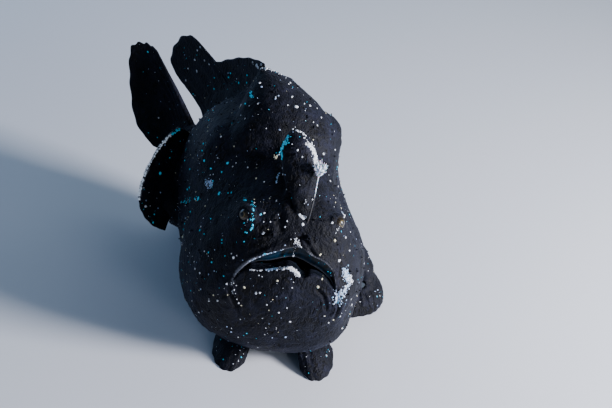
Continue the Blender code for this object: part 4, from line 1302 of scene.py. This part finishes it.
# Dots on fins: fin, share along the margin, share from root to margin, radius, tint.
FIN_DOTS = (
    ("soft_dorsal_fin", 0.09, 0.93, 1.0, WHITE), ("soft_dorsal_fin", 0.06, 0.88, 1.5, WHITE),
    ("soft_dorsal_fin", 0.045, 0.83, 1.4, WHITE), ("soft_dorsal_fin", 0.02, 0.95, 0.9, WHITE),
    ("soft_dorsal_fin", 0.62, 0.80, 0.9, WHITE), ("soft_dorsal_fin", 0.57, 0.86, 0.9, WHITE),
    ("soft_dorsal_fin", 0.68, 0.72, 0.9, WHITE), ("soft_dorsal_fin", 0.62, 0.66, 0.8, WHITE),
    ("soft_dorsal_fin", 0.60, 0.60, 0.9, WHITE), ("soft_dorsal_fin", 0.76, 0.72, 0.8, WHITE),
    ("soft_dorsal_fin", 0.72, 0.60, 0.9, WHITE), ("soft_dorsal_fin", 0.84, 0.72, 0.9, WHITE),
    ("soft_dorsal_fin", 0.36, 0.62, 0.9, BLUE), ("soft_dorsal_fin", 0.32, 0.72, 0.8, BLUE),
    ("soft_dorsal_fin", 0.30, 0.45, 0.8, BLUE), ("soft_dorsal_fin", 0.18, 0.60, 0.8, BLUE),
    ("caudal_fin", 0.70, 0.62, 0.9, WHITE), ("caudal_fin", 0.66, 0.30, 0.7, WHITE),
    ("caudal_fin", 0.25, 0.92, 0.9, BLUE), ("pectoral_fin_right", 0.70, 0.72, 0.9, WHITE),
    ("pectoral_fin_right", 0.35, 0.42, 1.0, BLUE), ("pectoral_fin_right", 0.22, 0.52, 0.8, BLUE),
    ("pectoral_fin_right", 0.86, 0.90, 0.8, BLUE),
)
DOT_SIZE = 0.8
SCATTERED = 1250
PAPILLA_COUNT = 460
FIN_SCATTERED = 34
RIM_BEADS = 130

def on_fin(name, along, outward, face):
    """A point on one face of a fin and its normal, from shares along the margin and outwards."""
    sheet = fin_sheets[name]
    i, j = int(along * (sheet.shape[0] - 2)), int(outward * (sheet.shape[1] - 2))
    a, b = sheet[i + 1, j] - sheet[i, j], sheet[i, j + 1] - sheet[i, j]
    normal = np.cross(a, b) * face
    normal /= np.linalg.norm(normal)
    return sheet[i, j] + normal * fin_halves[name][i, j], normal


def on_rim(name, along):
    """A point on the very edge of a fin and the direction in which the fin ends there."""
    sheet = fin_sheets[name]
    i = int(along * (sheet.shape[0] - 1))
    outward = sheet[i, -1] - sheet[i, -4]
    return sheet[i, -1], outward / np.linalg.norm(outward)


def skin_unwrap(place):
    """A place on the skin as two shares: along the trunk, and round it."""
    gaps = ((coarse_trunk - place) ** 2).sum(-1)
    ring, side = np.unravel_index(gaps.argmin(), gaps.shape)
    return 0.01 + 0.76 * side / gaps.shape[1], 0.01 + 0.97 * ring / gaps.shape[0]


coarse_trunk = trunk[::4, ::4]
fin_names = list(FINS)


def fin_unwrap(name, along, outward):
    row = fin_names.index(name)
    return 0.80 + 0.18 * outward, (row + 0.05 + 0.9 * along) / len(fin_names)


def growth_places():
    """Rows of place, normal, radius, tint and unwrapped place for every pale growth."""
    rng = np.random.default_rng(SEED + 1)
    rows = []
    for tint, count, spread, small, large, line in STREAKS:
        middle = path_through(line, rng.uniform(0, 1, count))
        for place in middle + rng.normal(0, spread, (count, 3)):
            size = small + (large - small) * rng.uniform() ** 2
            rows.append((*on_skin(place), size, tint + rng.normal(0, 0.05), None))
    for tint, dots in ((WHITE, WHITE_DOTS), (BLUE, BLUE_DOTS), (CREAM, CREAM_DOTS)):
        rows += [(*on_skin(dot[:3]), DOT_SIZE * dot[3], tint, None) for dot in dots]
    area, centre, _ = face_values(skin)
    weight = area * np.where(centre[:, 2] > 25, 1, 0.25) * np.where(centre[:, 0] < 0, 1.4, 0.8)
    for place in centre[rng.choice(len(area), SCATTERED, p=weight / weight.sum())]:
        size = 0.18 + 0.42 * rng.uniform() ** 2.5
        tint = rng.choice([WHITE, WHITE, PALE_BLUE, BLUE, CREAM])
        rows.append((*on_skin(place), size, tint, None))
    for name, along, outward, size, tint in FIN_DOTS:
        for face in (-1, 1):
            rows.append((*on_fin(name, along, outward, face), DOT_SIZE * size, tint,
                         fin_unwrap(name, along, outward)))
    for name in fin_names:
        for _ in range(FIN_SCATTERED):
            along, outward = rng.uniform(0.06, 0.94), rng.uniform(0.3, 0.96)
            rows.append((*on_fin(name, along, outward, rng.choice((-1, 1))),
                         0.18 + 0.35 * rng.uniform() ** 2, rng.choice([WHITE, PALE_BLUE, BLUE]),
                         fin_unwrap(name, along, outward)))
    for along in rng.uniform(0.12, 0.62, RIM_BEADS):
        tint = BLUE if along < 0.20 else RIM_WHITE
        size = 0.35 + 0.5 * rng.uniform() ** 3
        outward = rng.uniform(0.95, 0.995)
        seat = max((on_fin("pectoral_fin_right", along, outward, face) for face in (-1, 1)),
                   key=lambda found: -found[1][1])
        rows.append((*seat, size, tint, fin_unwrap("pectoral_fin_right", along, outward)))
        if along > 0.25 and rng.uniform() < 0.5:
            rows.append((*on_rim("pectoral_fin_right", along), size, tint,
                         fin_unwrap("pectoral_fin_right", along, 1.0)))
    for along, down, size, tint in VALVE_DOTS:
        place = sheet_valve[int(along * 119), int(down * 23)]
        rows.append((place, np.array((0.0, -0.8, 0.6)), size, tint, None))
    return rows


def domes(name, rows, rise, material, seed):
    """One small closed dome for each row: rings round its normal, squashed and turned at random."""
    rng = np.random.default_rng(seed)
    sides = 8
    turn = np.arange(sides) * 2 * np.pi / sides
    ring_radius, ring_height = np.array(rise).T
    local = np.stack([
        np.outer(ring_radius, np.cos(turn)), np.outer(ring_radius, np.sin(turn)),
        np.repeat(ring_height[:, None], sides, 1),
    ], -1)
    shells, tints, marks = [], [], []
    for place, normal, size, tint, mark in rows:
        side = np.cross(normal, (0.3, 0.5, 0.81))
        side /= np.linalg.norm(side)
        other = np.cross(normal, side)
        angle = rng.uniform(0, 2 * np.pi)
        first = math.cos(angle) * side + math.sin(angle) * other
        second = np.cross(normal, first)
        stretch = rng.uniform(0.75, 1.35, 3)
        wobble = 1 + rng.normal(0, 0.15, local.shape[:2])
        grid = place + size * (
            (local[..., :1] * stretch[0] * wobble[..., None]) * first
            + (local[..., 1:2] * stretch[1] * wobble[..., None]) * second
            + (local[..., 2:] * stretch[2]) * normal
        )
        shell = tube_shell(grid)
        shells.append(shell)
        tints.append(np.full(len(shell[0]), tint))
        flat = np.concatenate([[[0, 0]], local[1:-1, :, :2].reshape(-1, 2), [[0, 0]]])
        root = skin_unwrap(place) if mark is None else mark
        marks.append(np.array(root) + 0.0015 * flat)
    made = as_object(name, joined(shells))
    points = points_of(made)
    points[:, 2] = np.maximum(points[:, 2], 0.02)
    set_points(made, points)
    point_values(made, "tint", np.concatenate(tints))
    corner = np.empty(len(made.data.loops), np.int32)
    made.data.loops.foreach_get("vertex_index", corner)
    layer = made.data.uv_layers.new(name="OFBake")
    layer.data.foreach_set("uv", np.concatenate(marks)[corner].astype(np.float32).ravel())
    dress(made, material)
    return made


def growth_material():
    """Chalky crust: white, blue or cream by the tint of each growth, darker in its grain.

    Every growth gives off a painted glow, most on the rim beads and blue ones, to read on the dark flank.
    """
    material, tree, shader = new_material("chalky_growth_with_painted_glow", Roughness=0.7, Specular_IOR_Level=0.3)
    tint = add(tree, "ShaderNodeAttribute", attribute_name="tint").outputs["Fac"]
    grain = add(tree, "ShaderNodeTexNoise", {"Vector": millimetres(tree), "Scale": 1 / 0.7,
                                             "Detail": 2.0}).outputs[0]
    chalk = ramp_of(tree, tint, ((0.06, "#e2e6ea"), (0.92, "#dcd6b4"), (0.20, "#aebfdb"),
                                 (0.42, "#21bfe2"), (0.62, "#21bfe2"), (0.72, "#e8eef5"),
                                 (0.84, "#e8eef5")))
    shade = add(tree, "ShaderNodeMapRange", {0: grain, 1: 0.35, 2: 0.6, 3: 0.45, 4: 1.0}).outputs[0]
    colour = add(tree, "ShaderNodeMix", {0: shade, 6: linear("#3a3d44"), 7: chalk}, data_type="RGBA")
    tree.links.new(colour.outputs[2], shader.inputs["Base Color"])
    # Painted light: the growths emit light by their tint, though they are no lamp.
    painted_glow = ramp_of(tree, tint, ((0.06, "#1a1e24"), (0.92, "#0e0e0c"), (0.20, "#26374f"),
                                (0.42, "#0b5a70"), (0.62, "#0b5a70"), (0.72, "#6c7682"),
                                (0.84, "#6c7682")))
    tree.links.new(painted_glow, shader.inputs["Emission Color"])
    shader.inputs["Emission Strength"].default_value = 1.0
    return material


DOME = ((0, -0.3), (1.0, -0.3), (0.92, 0.15), (0.5, 0.45), (0, 0.5))
CONE = ((0, -0.4), (1.0, -0.4), (0.75, 0.15), (0.38, 0.8), (0.2, 1.25), (0, 1.35))
growths = domes("pale_growths", growth_places(), DOME, growth_material(), SEED + 2)
print("pale growths:", len(growths.data.polygons), "faces")

# %% Papillae
def papilla_places():
    """Small soft points of skin, drawn by area and thicker on the back and the cheeks."""
    rng = np.random.default_rng(SEED + 3)
    area, centre, _ = face_values(skin)
    weight = area * np.clip(centre[:, 2] / 60, 0.1, 1.5)
    weight *= ~((centre[:, 1] < -88) & (np.abs(centre[:, 0]) < 32) & (centre[:, 2] > 62))
    places = centre[rng.choice(len(area), PAPILLA_COUNT, p=weight / weight.sum())]
    return [(*on_skin(place), 0.45 + 0.6 * rng.uniform() ** 2, 0, None) for place in places]


papillae = domes("skin_papillae", papilla_places(), CONE, SKIN, SEED + 4)
print("papillae:", len(papillae.data.polygons), "faces")

# %% [markdown]
# Studio
#
# A pale floor, a large soft light from the fish's left where the photo's light comes from, a cooler
# one from its right, and one from behind to part the dark back from the background.

# %% Floor and lights
def add_floor():
    mesh = bpy.data.meshes.new("floor")
    mesh.from_pydata([(-4, -4, 0), (4, -4, 0), (4, 4, 0), (-4, 4, 0)], [], [(0, 1, 2, 3)])
    material, _, shader = new_material("pale_floor_paint", Roughness=0.8)
    shader.inputs["Base Color"].default_value = linear("#c9ccd0")
    mesh.materials.append(material)
    made = bpy.data.objects.new("floor", mesh)
    bpy.context.scene.collection.objects.link(made)


def add_light(name, place, size, power, code):
    """A square soft light that faces the fish."""
    data = bpy.data.lights.new(name, "AREA")
    data.size = size
    data.energy = power
    data.color = linear(code)[:3]
    made = bpy.data.objects.new(name, data)
    made.location = place
    made.rotation_euler = (Vector((0, 0, 0.07)) - Vector(place)).to_track_quat("-Z", "Y").to_euler()
    bpy.context.scene.collection.objects.link(made)


def add_world():
    world = bpy.data.worlds.new("studio")
    world.use_nodes = True
    background = world.node_tree.nodes["Background"]
    background.inputs["Color"].default_value = linear("#a9c4e6")
    background.inputs["Strength"].default_value = 0.15
    bpy.context.scene.world = world


add_floor()
add_world()
add_light("key", (0.89, -0.30, 0.40), 0.26, 34, "#f6f5ff")
add_light("front", (0.56, -0.80, 0.22), 0.3, 3.5, "#e4eaff")
add_light("fill", (-0.75, -0.55, 0.50), 0.9, 0.8, "#8fc0ff")
add_light("side", (-0.80, 0.70, 0.45), 0.7, 4, "#a4ccff")
add_light("back", (0.25, 0.85, 0.75), 0.8, 4, "#dcebff")
print("studio ready")
